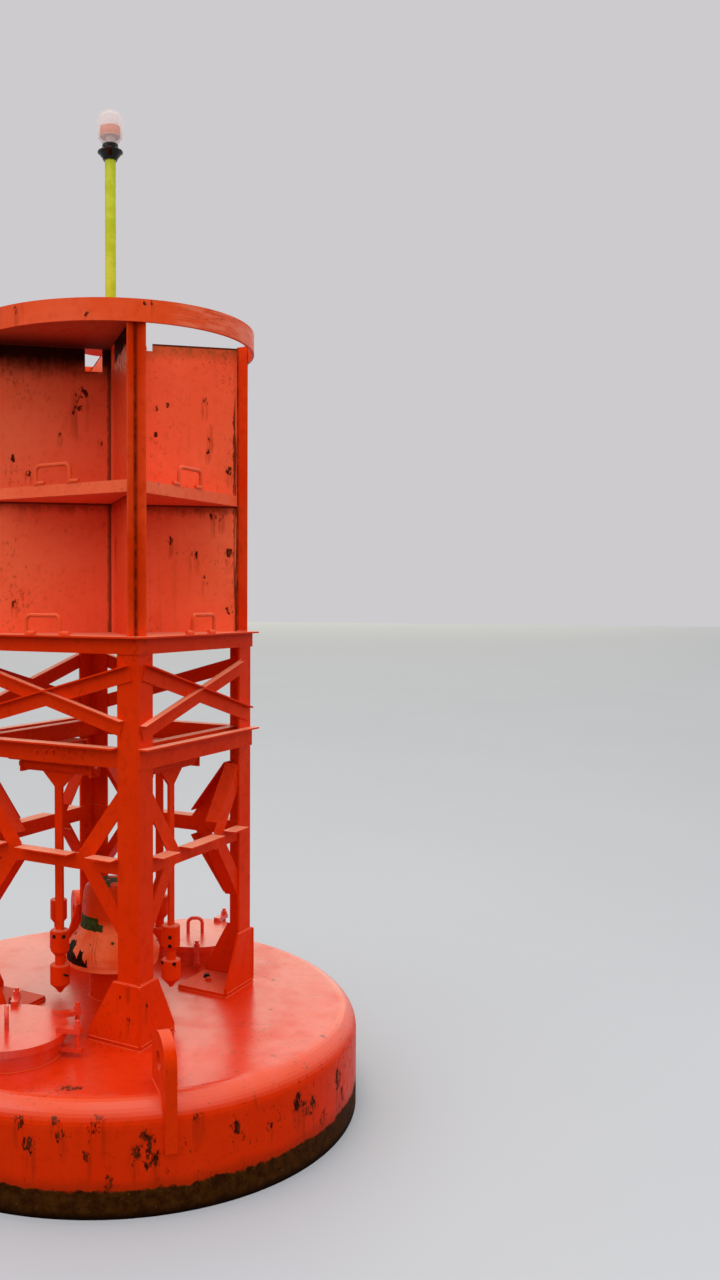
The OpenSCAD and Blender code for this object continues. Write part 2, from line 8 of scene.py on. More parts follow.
import json
import logging
import math
from dataclasses import dataclass
from enum import Enum
from typing import Callable, Iterable, Sequence, Union

import bmesh
import bpy
from mathutils import Matrix, Vector

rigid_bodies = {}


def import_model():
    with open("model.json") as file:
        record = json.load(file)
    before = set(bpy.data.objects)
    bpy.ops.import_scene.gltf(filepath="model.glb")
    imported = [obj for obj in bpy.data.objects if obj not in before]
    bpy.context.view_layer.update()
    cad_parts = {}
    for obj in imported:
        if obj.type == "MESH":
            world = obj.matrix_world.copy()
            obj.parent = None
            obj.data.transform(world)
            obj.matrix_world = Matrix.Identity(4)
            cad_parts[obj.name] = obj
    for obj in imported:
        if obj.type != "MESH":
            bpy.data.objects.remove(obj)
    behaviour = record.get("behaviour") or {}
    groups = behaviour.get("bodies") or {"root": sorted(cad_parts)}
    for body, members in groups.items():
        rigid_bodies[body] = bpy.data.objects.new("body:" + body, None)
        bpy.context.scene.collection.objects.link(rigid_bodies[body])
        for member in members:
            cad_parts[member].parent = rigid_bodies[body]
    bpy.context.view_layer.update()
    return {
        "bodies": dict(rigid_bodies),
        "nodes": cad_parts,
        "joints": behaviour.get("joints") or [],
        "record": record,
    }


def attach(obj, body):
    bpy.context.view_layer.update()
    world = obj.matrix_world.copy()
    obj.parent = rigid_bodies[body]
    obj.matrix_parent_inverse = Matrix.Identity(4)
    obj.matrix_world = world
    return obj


LOG = logging.getLogger("buoy")

Point = tuple[float, float, float]
Color = tuple[float, float, float, float]
Spot = tuple[float, float, float, float]
Value = Union["Field", float, str, Sequence[float]]

# The body that everything fixed rides on
ROOT = "buoy"

# Sizes that the frame's solids also have: the hull and its deck's rounded edge
HULL_R = 1.219
DECK_Z = 0.460
EDGE_R = 0.100
# Half the side of the tower over its legs, the top of its foot plates and the thickness of its gussets
HALF = 0.511
FOOT_TOP = 0.480
GUSSET_T = 0.012
# The ring round the cage
RING_R = 0.709
RING_LOW = 3.653
# Underside of the plate over the cage, top of the crossed plates and underside of the shelves
TOP_PLATE_Z = 3.688
CROSS_TOP = 3.730
SHELF_Z = 2.929

# Sizes of the patterns in the paint: faded patches, mottling, the brush's grain, chips, runs and specks
FADE = 0.55
MOTTLE = 0.045
GRAIN = 0.006
CHIP = 0.021
RUN = 0.030
SPECK = 0.019

# Options that many nodes share: soft ends on a ramp, and colours in a mix
SOFT = {"interpolation_type": "SMOOTHSTEP"}
TONES = {"data_type": "RGBA"}


# Colours and node graphs


def linear(code: str) -> Color:
    """Turns an sRGB hex colour into the linear values that shaders use.

    Args:
        code: six hexadecimal digits, with or without a leading '#'.

    Returns:
        Red, green, blue and an alpha of one.
    """
    code = code.lstrip("#")
    out = []
    for i in (0, 2, 4):
        c = int(code[i : i + 2], 16) / 255.0
        out.append(c / 12.92 if c <= 0.04045 else ((c + 0.055) / 1.055) ** 2.4)
    return (out[0], out[1], out[2], 1.0)


@dataclass(frozen=True)
class Field:
    """A number or a colour that varies over a surface, with the signs of plain arithmetic.

    The sign | joins two masks: it takes the larger of the two.

    Attributes:
        graph: the node graph that it belongs to.
        socket: the node output that gives it.
    """

    graph: "Graph"
    socket: bpy.types.NodeSocket

    def __add__(self, other: Value) -> "Field":
        """The sum of two values."""
        return self.graph.add("Math", self, other, operation="ADD")

    def __sub__(self, other: Value) -> "Field":
        """The difference of two values."""
        return self.graph.add("Math", self, other, operation="SUBTRACT")

    def __mul__(self, other: Value) -> "Field":
        """The product of two values, which is where two masks overlap."""
        return self.graph.add("Math", self, other, operation="MULTIPLY")

    def __or__(self, other: Value) -> "Field":
        """The larger of two values."""
        return self.graph.add("Math", self, other, operation="MAXIMUM")

    def __abs__(self) -> "Field":
        """The value without its sign."""
        return self.graph.add("Math", self, operation="ABSOLUTE")


class Graph:
    """A node tree that grows node by node."""

    def __init__(self, tree: bpy.types.NodeTree) -> None:
        """Keeps the tree."""
        self.tree = tree

    def put(self, socket: bpy.types.NodeSocket, value: Value) -> None:
        """Links a field to an input, or stores a plain value or a hex colour in it.

        Args:
            socket: the input.
            value: what goes into it.
        """
        if isinstance(value, Field):
            self.tree.links.new(value.socket, socket)
        else:
            socket.default_value = linear(value) if isinstance(value, str) else value

    def add(self, kind: str, *values: Value, out: str = "", **named: object) -> Field:
        """Adds a node with its settings and links.

        Args:
            kind: the node's type, without the words that every shader node's type starts with.
            values: what goes into the inputs in use, in their order.
            out: name of the output that is wanted, or nothing for the first one in use.
            named: the node's own options, in lower case, and inputs by their names, which have a capital.

        Returns:
            The output.
        """
        node = self.tree.nodes.new("ShaderNode" + kind)
        for name, value in named.items():
            if name.islower():
                setattr(node, name, value)
        for socket, value in zip([item for item in node.inputs if item.enabled], values):
            self.put(socket, value)
        for name, value in named.items():
            if not name.islower():
                self.put(node.inputs[name], value)
        return Field(self, node.outputs[out] if out else next(item for item in node.outputs if item.enabled))

    def background_share(self) -> Field:
        """Finds the rays that show the background itself: camera, glossy and transmitted ones.

        Returns:
            1 for those rays.
        """
        camera, glossy, through = (self.add("LightPath", out="Is " + ray + " Ray")
            for ray in ("Camera", "Glossy", "Transmission"))
        return camera | glossy | through


class Skin(Graph):
    """The node graph of one material, with its shader, the object coordinates and the way up."""

    def __init__(self, name: str) -> None:
        """Makes the material.

        Args:
            name: the material's name.
        """
        self.material = bpy.data.materials.new(name)
        self.material.use_nodes = True
        super().__init__(self.material.node_tree)
        self.tree.nodes.clear()
        output = self.tree.nodes.new("ShaderNodeOutputMaterial")
        self.shader = self.tree.nodes.new("ShaderNodeBsdfPrincipled")
        self.tree.links.new(self.shader.outputs[0], output.inputs["Surface"])
        self.coords = self.add("TexCoord", out="Object")
        self.x, self.y, self.z = (self.add("SeparateXYZ", self.coords, out=letter) for letter in "XYZ")
        self.up = self.add("SeparateXYZ", self.add("TexCoord", out="Normal"), out="Z")

    def within(self, value: Field, low: float, high: float, soft: float) -> Field:
        """1 where a value lies between two limits, with soft ends.

        Args:
            value: the field to test.
            low: the lower limit.
            high: the upper limit.
            soft: half the width of each soft end.

        Returns:
            The mask.
        """
        above = self.add("MapRange", value, low - soft, low + soft, **SOFT)
        return above * self.add("MapRange", value, high + soft, high - soft, **SOFT)

    def near(self, places: Iterable[Spot], tall: float = 1.0, drop: float = 0.0) -> Field:
        """A soft mask, 1 at the middle of each place.

        Args:
            places: the middle and radius of each soft ball.
            tall: height of the balls over their width.
            drop: how far the balls hang below their places, as a share of their height.

        Returns:
            The mask.
        """
        flat = self.add("Mapping", self.coords, Scale=(1.0, 1.0, 1.0 / tall))
        total = None
        for x, y, z, r in places:
            away = self.add("VectorMath", flat, (x, y, z / tall - drop * r), operation="DISTANCE")
            ball = self.add("MapRange", away, r * 1.7, r * 0.65, **SOFT)
            total = ball if total is None else total | ball
        return total

    def finish(self, color: Value, rough: Value, normal: Value | None = None,
            **plain: Value) -> bpy.types.Material:
        """Connects the shader.

        Args:
            color: the base colour.
            rough: the roughness.
            normal: the last bump, where there is one.
            plain: plain values for the shader's own sockets, by their names.

        Returns:
            The material.
        """
        self.put(self.shader.inputs["Base Color"], color)
        self.put(self.shader.inputs["Roughness"], rough)
        if normal is not None:
            self.put(self.shader.inputs["Normal"], normal)
        for name, value in plain.items():
            self.put(self.shader.inputs[name.replace("_", " ")], value)
        return self.material


def round_spots(radius: float, *places: Point) -> tuple[Spot, ...]:
    """Spots on an upright round wall.

    Args:
        radius: the wall's radius.
        places: angle from +X in degrees, height and size of each spot.

    Returns:
        The spots.
    """
    turns = [math.radians(angle) for angle, _, _ in places]
    return tuple((radius * math.cos(a), radius * math.sin(a), z, r) for a, (_, z, r) in zip(turns, places))


def plate_spots(*places: Point) -> tuple[Spot, ...]:
    """Spots on the crossed plate where x equals y, each given as that x, a height and a size."""
    return tuple((t, t, z, r) for t, z, r in places)


# Finishes


@dataclass
class Coat:
    """An enamel in the making, which each of its marks changes.

    Attributes:
        graph: the material's nodes.
        color: the colour so far.
        rough: the roughness so far.
        height: the relief so far, from about -1 to 1.
        fine: the mottling.
        streak: the upright streaks.
    """

    graph: Skin
    color: Field
    rough: Field
    height: Field
    fine: Field
    streak: Field

    def lay(self, mask: Value, tone: Value) -> None:
        """Lays a colour over the coat where a mask says."""
        self.color = self.graph.add("Mix", mask, self.color, tone, **TONES)


def growth_and_edge_highlight(coat: Coat) -> None:
    """Brown fouling at the waterline, a black wet base, a painted highlight on the deck's rounded edge and a
    wet shine on the deck.

    Args:
        coat: the enamel that it grows on.
    """
    g, z, fine = coat.graph, coat.graph.z, coat.fine
    wander = g.add("TexNoise", g.coords, Scale=1 / 0.30, Detail=5.0, Roughness=0.62)
    edge = z + (wander - 0.5) * 0.085 + (fine - 0.5) * 0.045
    grown = g.add("MapRange", edge, 0.124, 0.112, **SOFT)
    weed = g.add("Mix", g.add("MapRange", fine, 0.35, 0.65, **SOFT), "2E1404", "46260A", **TONES)
    shells = g.add("TexNoise", g.coords, Scale=1 / 0.012, Detail=4.0, Roughness=0.7)
    weed = g.add("Mix", g.add("MapRange", shells, 0.62, 0.74, **SOFT), weed, "70502A", **TONES)
    weed = g.add("Mix", g.add("MapRange", z, 0.045, 0.0, **SOFT), weed, "0C0704", **TONES)
    coat.lay(g.add("MapRange", edge, 0.175, 0.118, 0.0, 0.55, **SOFT), "862408")
    coat.lay(grown, weed)
    coat.rough = coat.rough + grown * 0.35
    crust = g.add("TexNoise", g.coords, Scale=1 / 0.016, Detail=5.0, Roughness=0.75)
    crust = (crust + g.add("TexVoronoi", g.coords, Scale=1 / 0.02)) * 3.2
    coat.height = coat.height + grown * crust
    # Painted highlight: a lighter orange on the rounded edge of the deck, where it looks partly up, and none
    # on the flat deck.
    edge_light = g.add("MapRange", g.up, 0.22, 0.80, 0.0, 0.32, **SOFT)
    edge_light = edge_light * g.add("MapRange", g.up, 1.0, 0.94, **SOFT)
    coat.lay(edge_light, "F8794E")
    puddles = g.add("TexNoise", g.coords, Scale=1 / 0.35, Detail=4.0, Roughness=0.6)
    wet = g.add("MapRange", puddles, 0.30, 0.55, 0.55, 1.0, **SOFT)
    wet = wet * g.add("MapRange", z, 0.385, 0.450, **SOFT)
    g.put(g.shader.inputs["Coat Weight"], wet)
    g.put(g.shader.inputs["Coat Roughness"], 0.24)
    g.put(g.shader.inputs["Coat IOR"], 1.7)


def soot_and_shade(coat: Coat) -> None:
    """Painted shadow and sooty grime under the top plate and the shelves, painted shade under the top plate,
    a worn top edge, grimy seams, and one flaked plate with painted reflection and shadow.

    Args:
        coat: the enamel that it is laid on.
    """
    g, fine, streak = coat.graph, coat.fine, coat.streak
    x, y, z = g.x, g.y, g.z
    ax, ay = abs(x), abs(y)
    low = z + (fine - 0.5) * 0.07 + (streak - 0.5) * 0.05
    roofed = g.add("MapRange", y * -1.0 - ax, 0.0005, 0.002, **SOFT) * g.add("MapRange", x, 0.03, 0.0, **SOFT)
    # Painted shadow with some soot: a dark band down from the top plate, on the quarters under it.
    shadow_and_soot_under_top = g.add("MapRange", low, TOP_PLATE_Z - 0.188, TOP_PLATE_Z - 0.043, 0.0, 0.97, **SOFT)
    shadow_and_soot_under_top = shadow_and_soot_under_top * g.add("MapRange", z, TOP_PLATE_Z - 0.0005, TOP_PLATE_Z - 0.001, **SOFT) * roofed
    # Painted shadow with some soot: a band under each shelf and a thin dark line at its joint.
    shadow_and_soot_under_shelf = g.add("MapRange", low, SHELF_Z - 0.064, SHELF_Z - 0.004, 0.0, 0.55, **SOFT)
    shadow_and_soot_under_shelf = shadow_and_soot_under_shelf | g.add("MapRange", z, SHELF_Z - 0.014, SHELF_Z - 0.007, 0.0, 0.8, **SOFT)
    shadow_and_soot_under_shelf = shadow_and_soot_under_shelf * g.add("MapRange", z, SHELF_Z, SHELF_Z - 0.0005, **SOFT)
    rim = z + (fine - 0.5) * 0.010
    worn = g.add("MapRange", rim, CROSS_TOP - 0.012, CROSS_TOP - 0.006, 0.0, 0.85, **SOFT)
    reach = abs(x - y) + (fine - 0.5) * 0.10
    # Painted shade on the top plate's underside, darker towards the middle.
    painted_shade_under_top = g.add("MapRange", reach, 0.52, 0.02, 0.22, 0.88, **SOFT)
    painted_shade_under_top = painted_shade_under_top * g.add("MapRange", g.up, -0.8, -0.95, **SOFT)
    painted_shade_under_top = painted_shade_under_top * g.within(z, TOP_PLATE_Z - 0.004, TOP_PLATE_Z + 0.006, 0.001)
    # Painted shade and wear: the bands and the underside are painted shadow with some soot; the top edge is
    # worn.
    dark = shadow_and_soot_under_top | painted_shade_under_top | shadow_and_soot_under_shelf | worn
    brown = g.add("MapRange", low, CROSS_TOP - 0.095, CROSS_TOP - 0.015, 0.0, 0.85, **SOFT)
    brown = brown * g.add("MapRange", x, 0.0, 0.04, **SOFT) * g.add("MapRange", y, -0.01, 0.01, **SOFT)
    coat.lay(brown * g.add("MapRange", fine, 0.35, 0.60, 1.0, 0.45, **SOFT), "6E4218")
    coat.lay(dark, g.add("Mix", fine, "2A1206", "100703", **TONES))
    front = g.within(x + y, -0.012, -0.002, 0.001) * g.add("MapRange", x, 0.02, 0.10, **SOFT)
    # Painted reflection: the SW face of the SE half plate is laid a deeper red, for the red plate beside it
    # mirrored at a grazing angle.
    coat.lay(front * 0.62, "D63004")
    ragged = ax + (fine - 0.5) * 0.02
    outer = g.add("MapRange", ragged, 0.445, 0.449, **SOFT)
    outer = outer * g.add("MapRange", streak, 0.46, 0.54, 0.15, 0.85, **SOFT)
    seam = g.add("MapRange", ragged, 0.016, 0.006, 0.0, 0.65, **SOFT) | outer
    coat.lay(seam * g.add("MapRange", abs(ax - ay), 0.0075, 0.005, **SOFT), "3A1206")
    flake = g.add("Mapping", g.coords, Scale=(1.0, 1.0, 0.6))
    flake = g.add("TexNoise", flake, Scale=1 / 0.022, Detail=5.0, Roughness=0.65)
    flaked = g.add("MapRange", low + x * 0.37, 3.585, 3.625, **SOFT)
    coat.lay(flaked * front * g.add("MapRange", flake, 0.42, 0.56, 0.10, 0.85, **SOFT), "FFBE9C")
    # Painted shadow: near black at the top of that face, under the top plate.
    coat.lay(g.add("MapRange", low - x * 0.13, 3.570, 3.585, **SOFT) * front, "1E0B04")
    coat.rough = coat.rough + dark * 0.3


def heel(coat: Coat) -> None:
    """Rust and painted shade in the hollow corners of the cage legs, broken up along their height.

    Args:
        coat: the enamel that it is laid on.
    """
    g = coat.graph
    off = abs(abs(g.x) - abs(g.y)) + (coat.fine - 0.5) * 0.016
    broken = g.add("MapRange", coat.fine, 0.30, 0.60, 0.25, 0.85, **SOFT)
    # Partly rust and partly painted shade: a dark line down the hollow corner of each leg.
    coat.lay(g.add("MapRange", off, 0.020, 0.004, **SOFT) * broken, "5E1A06")


def scrape_and_highlight(coat: Coat) -> None:
    """Pale streaks and dark cracks where one part of the ring has been knocked; the pale streaks are partly
    paler paint and partly a painted highlight on the dents.

    Args:
        coat: the enamel that was knocked.
    """
    g = coat.graph
    along = g.add("Mapping", g.coords, Scale=(0.35, 0.35, 2.8))
    level = g.add("TexNoise", along, Scale=1 / 0.060, Detail=5.0, Roughness=0.6)
    place = g.near(((0.700, -0.115, 3.705, 0.12), (0.705, 0.040, 3.700, 0.13), (0.690, 0.150, 3.690, 0.10),
        (0.660, -0.260, 3.715, 0.09)))
    wall = place * g.add("MapRange", g.z, RING_LOW, RING_LOW + 0.003, **SOFT)
    # Pale streaks: partly paler paint, partly a painted highlight on the dents.
    coat.lay(wall * g.add("MapRange", level, 0.44, 0.62, 0.05, 0.45, **SOFT), "F28A68")
    coat.lay(wall * g.add("MapRange", abs(level - 0.45), 0.010, 0.003, 0.0, 0.55, **SOFT), "8A2A10")
    coat.height = coat.height + level * wall * 2.5


@dataclass(frozen=True)
class Enamel:
    """Brushed marine enamel on steel. The eye gets fading, mottling, runs, ragged chips and rust.

    Attributes:
        name: the material's name.
        base: colour of the sound paint.
        faded: colour where salt and sunshine have bleached it.
        shade: colour of thin or dirty paint.
        chips: how much of the surface is chipped, 0 to 1.
        runs: strength of the rusty runs under chips and edges.
        gloss: roughness of sound paint.
        sheen: the shader's specular level.
        specks: strength of the scattered fine specks.
        top_sheen: strength of the painted highlight on the faces that look up, a pale tone for the sky's
            reflection.
        spots: chips at known places.
        marks: what else the years have left on it, in order.
    """

    name: str
    base: str
    faded: str
    shade: str
    chips: float = 0.1
    runs: float = 0.3
    gloss: float = 0.34
    sheen: float = 0.2
    specks: float = 0.0
    top_sheen: float = 0.0
    spots: tuple[Spot, ...] = ()
    marks: tuple[Callable[[Coat], None], ...] = ()

    def build(self) -> bpy.types.Material:
        """Builds the material.

        Returns:
            The new material.
        """
        g = Skin(self.name)
        broad = g.add("TexNoise", g.coords, Scale=1 / FADE, Detail=5.0, Roughness=0.6)
        fine = g.add("TexNoise", g.coords, Scale=1 / MOTTLE, Detail=6.0, Roughness=0.65)
        hanging = g.add("Mapping", g.coords, Scale=(1.0, 1.0, 0.045))
        streak = g.add("TexNoise", hanging, Scale=1 / RUN, Detail=4.0, Roughness=0.6)
        color = g.add("Mix", g.add("MapRange", broad, 0.38, 0.66, **SOFT), self.base, self.faded, **TONES)
        rough = g.add("MapRange", fine, 0.3, 0.7, self.gloss - 0.05, self.gloss + 0.09, **SOFT)
        coat = Coat(g, color, rough, fine * 0.25, fine, streak)
        self._weather(coat, broad)
        self._chip(coat)
        for mark in self.marks:
            mark(coat)
        grain = g.add("TexNoise", g.coords, Scale=1 / GRAIN, Detail=3.0, Roughness=0.6)
        grain = g.add("Bump", Height=grain, Distance=0.0004, Strength=0.35)
        normal = g.add("Bump", Height=coat.height, Distance=0.0016, Strength=0.6, Normal=grain)
        return g.finish(coat.color, coat.rough, normal, Specular_Tint=self.base,
            Specular_IOR_Level=self.sheen)

    def _weather(self, coat: Coat, broad: Field) -> None:
        """Adds thin paint, rusty runs and a painted highlight on the faces that look up.

        Args:
            coat: the enamel in the making.
            broad: the faded patches.
        """
        g = coat.graph
        coat.lay(g.add("MapRange", coat.fine, 0.48, 0.74, 0.0, 0.40, **SOFT), self.shade)
        run = g.add("MapRange", coat.streak, 0.56, 0.74, **SOFT)
        coat.lay(run * g.add("MapRange", broad, 0.35, 0.62, self.runs, self.runs * 0.2, **SOFT), "7A1E08")
        if self.top_sheen:
            # Painted highlight: faces that look up get a pale tone for the sky's reflection, less of it low
            # down.
            sky_sheen = g.add("MapRange", g.up, 0.55, 0.95, 0.0, self.top_sheen, **SOFT)
            coat.lay(sky_sheen * g.add("MapRange", g.z, 0.6, 1.3, 0.25, 1.0, **SOFT), "FC9A76")

    def _chip(self, coat: Coat) -> None:
        """Adds ragged chips with a rusty halo, and fine specks.

        Args:
            coat: the enamel in the making.
        """
        g = coat.graph
        upright = g.add("Mapping", g.coords, Scale=(1.0, 1.0, 0.50))
        fleck = g.add("TexNoise", upright, Scale=1 / CHIP, Detail=6.0, Roughness=0.72)
        patch = (g.add("TexNoise", g.coords, Scale=1 / 0.26, Detail=3.0, Roughness=0.6) - 0.5) * 0.45
        value = (fleck - 0.5) * 1.9 + 0.5 + patch
        if self.spots:
            value = value + g.near(self.spots, 1.4) * 0.42
            trail = g.add("MapRange", coat.streak, 0.42, 0.60, 0.0, 0.40, **SOFT)
            coat.lay(g.near(self.spots, 2.6, 0.8) * trail, "8A2408")
        if self.specks:
            upright = g.add("Mapping", g.coords, Scale=(1.0, 1.0, 0.7))
            dust = g.add("TexNoise", upright, Scale=1 / SPECK, Detail=5.0, Roughness=0.75) + patch * 0.9
            if self.spots:
                dust = dust + g.near(self.spots, 1.2) * 0.06
            coat.lay(g.add("MapRange", dust, 0.60, 0.68, 0.0, self.specks, **SOFT), "4E1406")
        limit = 0.95 - 0.10 * self.chips
        chip = g.add("MapRange", value, limit, limit + 0.03, **SOFT)
        coat.lay(g.add("MapRange", value, limit - 0.07, limit, **SOFT) * 0.45, "8A2408")
        steel = g.add("Mix", g.add("MapRange", coat.fine, 0.4, 0.6, **SOFT), "1E0A04", "5A2410", **TONES)
        coat.lay(chip * 0.92, steel)
        coat.rough = coat.rough + chip * 0.35
        coat.height = coat.height - chip * 0.9


@dataclass(frozen=True)
class TwoTone:
    """A plain material whose two tones cloud into each other, with a fine surface.

    Attributes:
        name: the material's name.
        dark: colour of one tone.
        light: colour of the other.
        rough: mean roughness.
        cloud: size of the clouding.
        relief: depth of the surface relief.
        coat: weight of a clear coat.
    """

    name: str
    dark: str
    light: str
    rough: float
    cloud: float = 0.03
    relief: float = 0.0004
    coat: float = 0.0

    def build(self) -> bpy.types.Material:
        """Builds the material.

        Returns:
            The new material.
        """
        g = Skin(self.name)
        cloud = g.add("TexNoise", g.coords, Scale=1 / self.cloud, Detail=5.0, Roughness=0.6)
        fine = g.add("TexNoise", g.coords, Scale=1 / (self.cloud * 0.15), Detail=3.0, Roughness=0.6)
        color = g.add("Mix", g.add("MapRange", cloud, 0.35, 0.65, **SOFT), self.dark, self.light, **TONES)
        rough = g.add("MapRange", cloud, 0.3, 0.7, max(self.rough - 0.08, 0.02), self.rough + 0.08, **SOFT)
        normal = g.add("Bump", Height=fine, Distance=self.relief, Strength=0.5)
        return g.finish(color, rough, normal, Specular_Tint=self.light, Coat_Weight=self.coat)


@dataclass(frozen=True)
class BellSkin:
    """Painted bronze. The eye gets flaked places with the green-black old skin, a seam in the paint, and a
    lighter flare that is a painted reflection of the sky.

    Attributes:
        band: lowest and highest edge of the flaked band on the bell's waist.
        tips: height that the black flames above the lip reach.
        shoulder: lowest and highest edge of the green round the shoulder.
    """

    band: tuple[float, float] = (0.822, 0.886)
    tips: float = 0.735
    shoulder: tuple[float, float] = (1.033, 1.058)

    def build(self) -> bpy.types.Material:
        """Builds the material.

        Returns:
            The new material.
        """
        g = Skin("bell skin")
        fine = g.add("TexNoise", g.coords, Scale=1 / 0.03, Detail=5.0, Roughness=0.65)
        wander = (g.add("TexNoise", g.coords, Scale=1 / 0.020, Detail=4.0, Roughness=0.6) - 0.5) * 0.016
        turn = g.add("Math", g.y, g.x, operation="ARCTAN2") * math.degrees(1.0) + wander * 300.0
        level = g.z + wander
        green = self._green(g, turn, level)
        black = self._black(g, turn, level)
        clouds = g.add("TexNoise", g.coords, Scale=1 / 0.12, Detail=4.0, Roughness=0.6)
        color = g.add("Mix", g.add("MapRange", clouds, 0.35, 0.65, **SOFT), "F05828", "F87448", **TONES)
        # Painted reflection: below the waist the body keeps the lighter salmon tones, for the sky mirrored on
        # the flare; above it turns a darker red.
        color = g.add("Mix", g.add("MapRange", g.z, 0.82, 0.88, **SOFT), color, "D2360C", **TONES)
        color = g.add("Mix", self._seam(g, turn), color, "8A1E08", **TONES)
        mottle = g.add("MapRange", fine, 0.4, 0.65, **SOFT)
        color = g.add("Mix", green, color, g.add("Mix", mottle, "28340F", "3C4A20", **TONES), **TONES)
        color = g.add("Mix", black, color, g.add("Mix", mottle, "180A05", "30200E", **TONES), **TONES)
        bare = green | black
        normal = g.add("Bump", Height=fine * 0.4 - bare * 0.6, Distance=0.0012, Strength=0.6)
        rough = g.add("MapRange", bare, 0.0, 1.0, 0.38, 0.6, **SOFT)
        return g.finish(color, rough, normal, Specular_Tint="DE4A22", Specular_IOR_Level=0.12)

    def _green(self, g: Skin, turn: Field, level: Field) -> Field:
        """Where the green skin shows.

        Args:
            g: the material's nodes.
            turn: wavering angle round the bell in degrees.
            level: wavering height.

        Returns:
            The mask.
        """
        low, high = self.band
        wide = g.within(turn, -143.0, -81.5, 0.8) * g.within(level, low, high, 0.001)
        narrow = g.within(turn, -90.0, -72.0, 0.8) * g.within(level, low, low + 0.035, 0.001)
        dots = g.near(((0.111, -0.153, 0.777, 0.007), (-0.08, -0.124, 0.952, 0.006)))
        gaps = g.add("TexNoise", g.coords, Scale=1 / 0.10, Detail=2.0, Roughness=0.5)
        ring = g.within(level, *self.shoulder, 0.002) * g.add("MapRange", gaps, 0.40, 0.44, **SOFT)
        return wide | narrow | dots | ring

    def _black(self, g: Skin, turn: Field, level: Field) -> Field:
        """Where the bell is black: flames and the far side, where the paint has burnt or flaked, and a dark
        patch on the flank towards -X.

        Args:
            g: the material's nodes.
            turn: wavering angle round the bell in degrees.
            level: wavering height.

        Returns:
            The mask.
        """
        tall = g.add("Mapping", g.coords, Scale=(1.0, 1.0, 0.12))
        tips = g.add("TexNoise", tall, Scale=1 / 0.034, Detail=2.0, Roughness=0.5)
        flames = g.add("MapRange", g.z - (tips - 0.5) * 0.36, self.tips, self.tips - 0.005, **SOFT)
        flames = flames * g.within(turn, -130.0, -86.0, 1.0) * g.add("MapRange", level, 0.658, 0.664, **SOFT)
        patch_wobble = g.add("TexNoise", g.coords, Scale=1 / 0.028, Detail=4.0, Roughness=0.6) - 0.5
        patch = g.within(turn + patch_wobble * 110.0, -174.0, -146.0, 1.0)
        patch = patch * g.within(g.z + patch_wobble * 0.22, 0.742, 0.816, 0.001)
        far = g.add("TexNoise", g.coords, Scale=1 / 0.10, Detail=4.0, Roughness=0.55, Distortion=0.4)
        far = g.add("MapRange", far, 0.60, 0.61, **SOFT) * g.add("MapRange", g.y, 0.0, 0.05, **SOFT)
        return flames | patch | far

    def _seam(self, g: Skin, turn: Field) -> Field:
        """The two slanting lines of the seam in the paint.

        Args:
            g: the material's nodes.
            turn: wavering angle round the bell in degrees.

        Returns:
            The mask.
        """
        slant = turn + (g.z - 0.813) * 54.0
        lines = g.within(slant, -85.5, -84.9, 0.3) | g.within(slant, -80.8, -80.2, 0.3)
        return lines * g.within(g.z, 0.685, 0.818, 0.004) * 0.7


@dataclass(frozen=True)
class ClearGlobe:
    """Clear moulded plastic that has taken a faint pink tone. The eye sees the optic through it.

    Attributes:
        cover: how much of what lies behind it the plastic hides.
    """

    cover: float = 0.20

    def build(self) -> bpy.types.Material:
        """Builds the material.

        Returns:
            The new material.
        """
        g = Skin("clear globe")
        haze = g.add("TexNoise", g.coords, Scale=1 / 0.05, Detail=3.0, Roughness=0.5)
        color = g.add("Mix", haze, "F2D6D0", "F8E6E2", **TONES)
        rough = g.add("MapRange", haze, 0.3, 0.7, 0.06, 0.14, **SOFT)
        return g.finish(color, rough, Alpha=self.cover, IOR=1.42)


@dataclass(frozen=True)
class SalmonPlastic:
    """Pale moulded plastic with a salmon band round its middle, where the lamp's lens sits.

    Attributes:
        band: lowest and highest edge of the band.
    """

    band: tuple[float, float] = (4.7290, 4.7715)

    def build(self) -> bpy.types.Material:
        """Builds the material.

        Returns:
            The new material.
        """
        g = Skin("salmon plastic")
        mottle = g.add("TexNoise", g.coords, Scale=1 / 0.02, Detail=3.0, Roughness=0.5)
        pale = g.add("Mix", mottle, "F0DAD4", "F6E4E0", **TONES)
        salmon = g.add("Mix", mottle, "E87638", "F08E52", **TONES)
        color = g.add("Mix", g.within(g.z, *self.band, 0.0008), pale, salmon, **TONES)
        rough = g.add("MapRange", mottle, 0.3, 0.7, 0.25, 0.4, **SOFT)
        return g.finish(color, rough, Specular_IOR_Level=0.3)


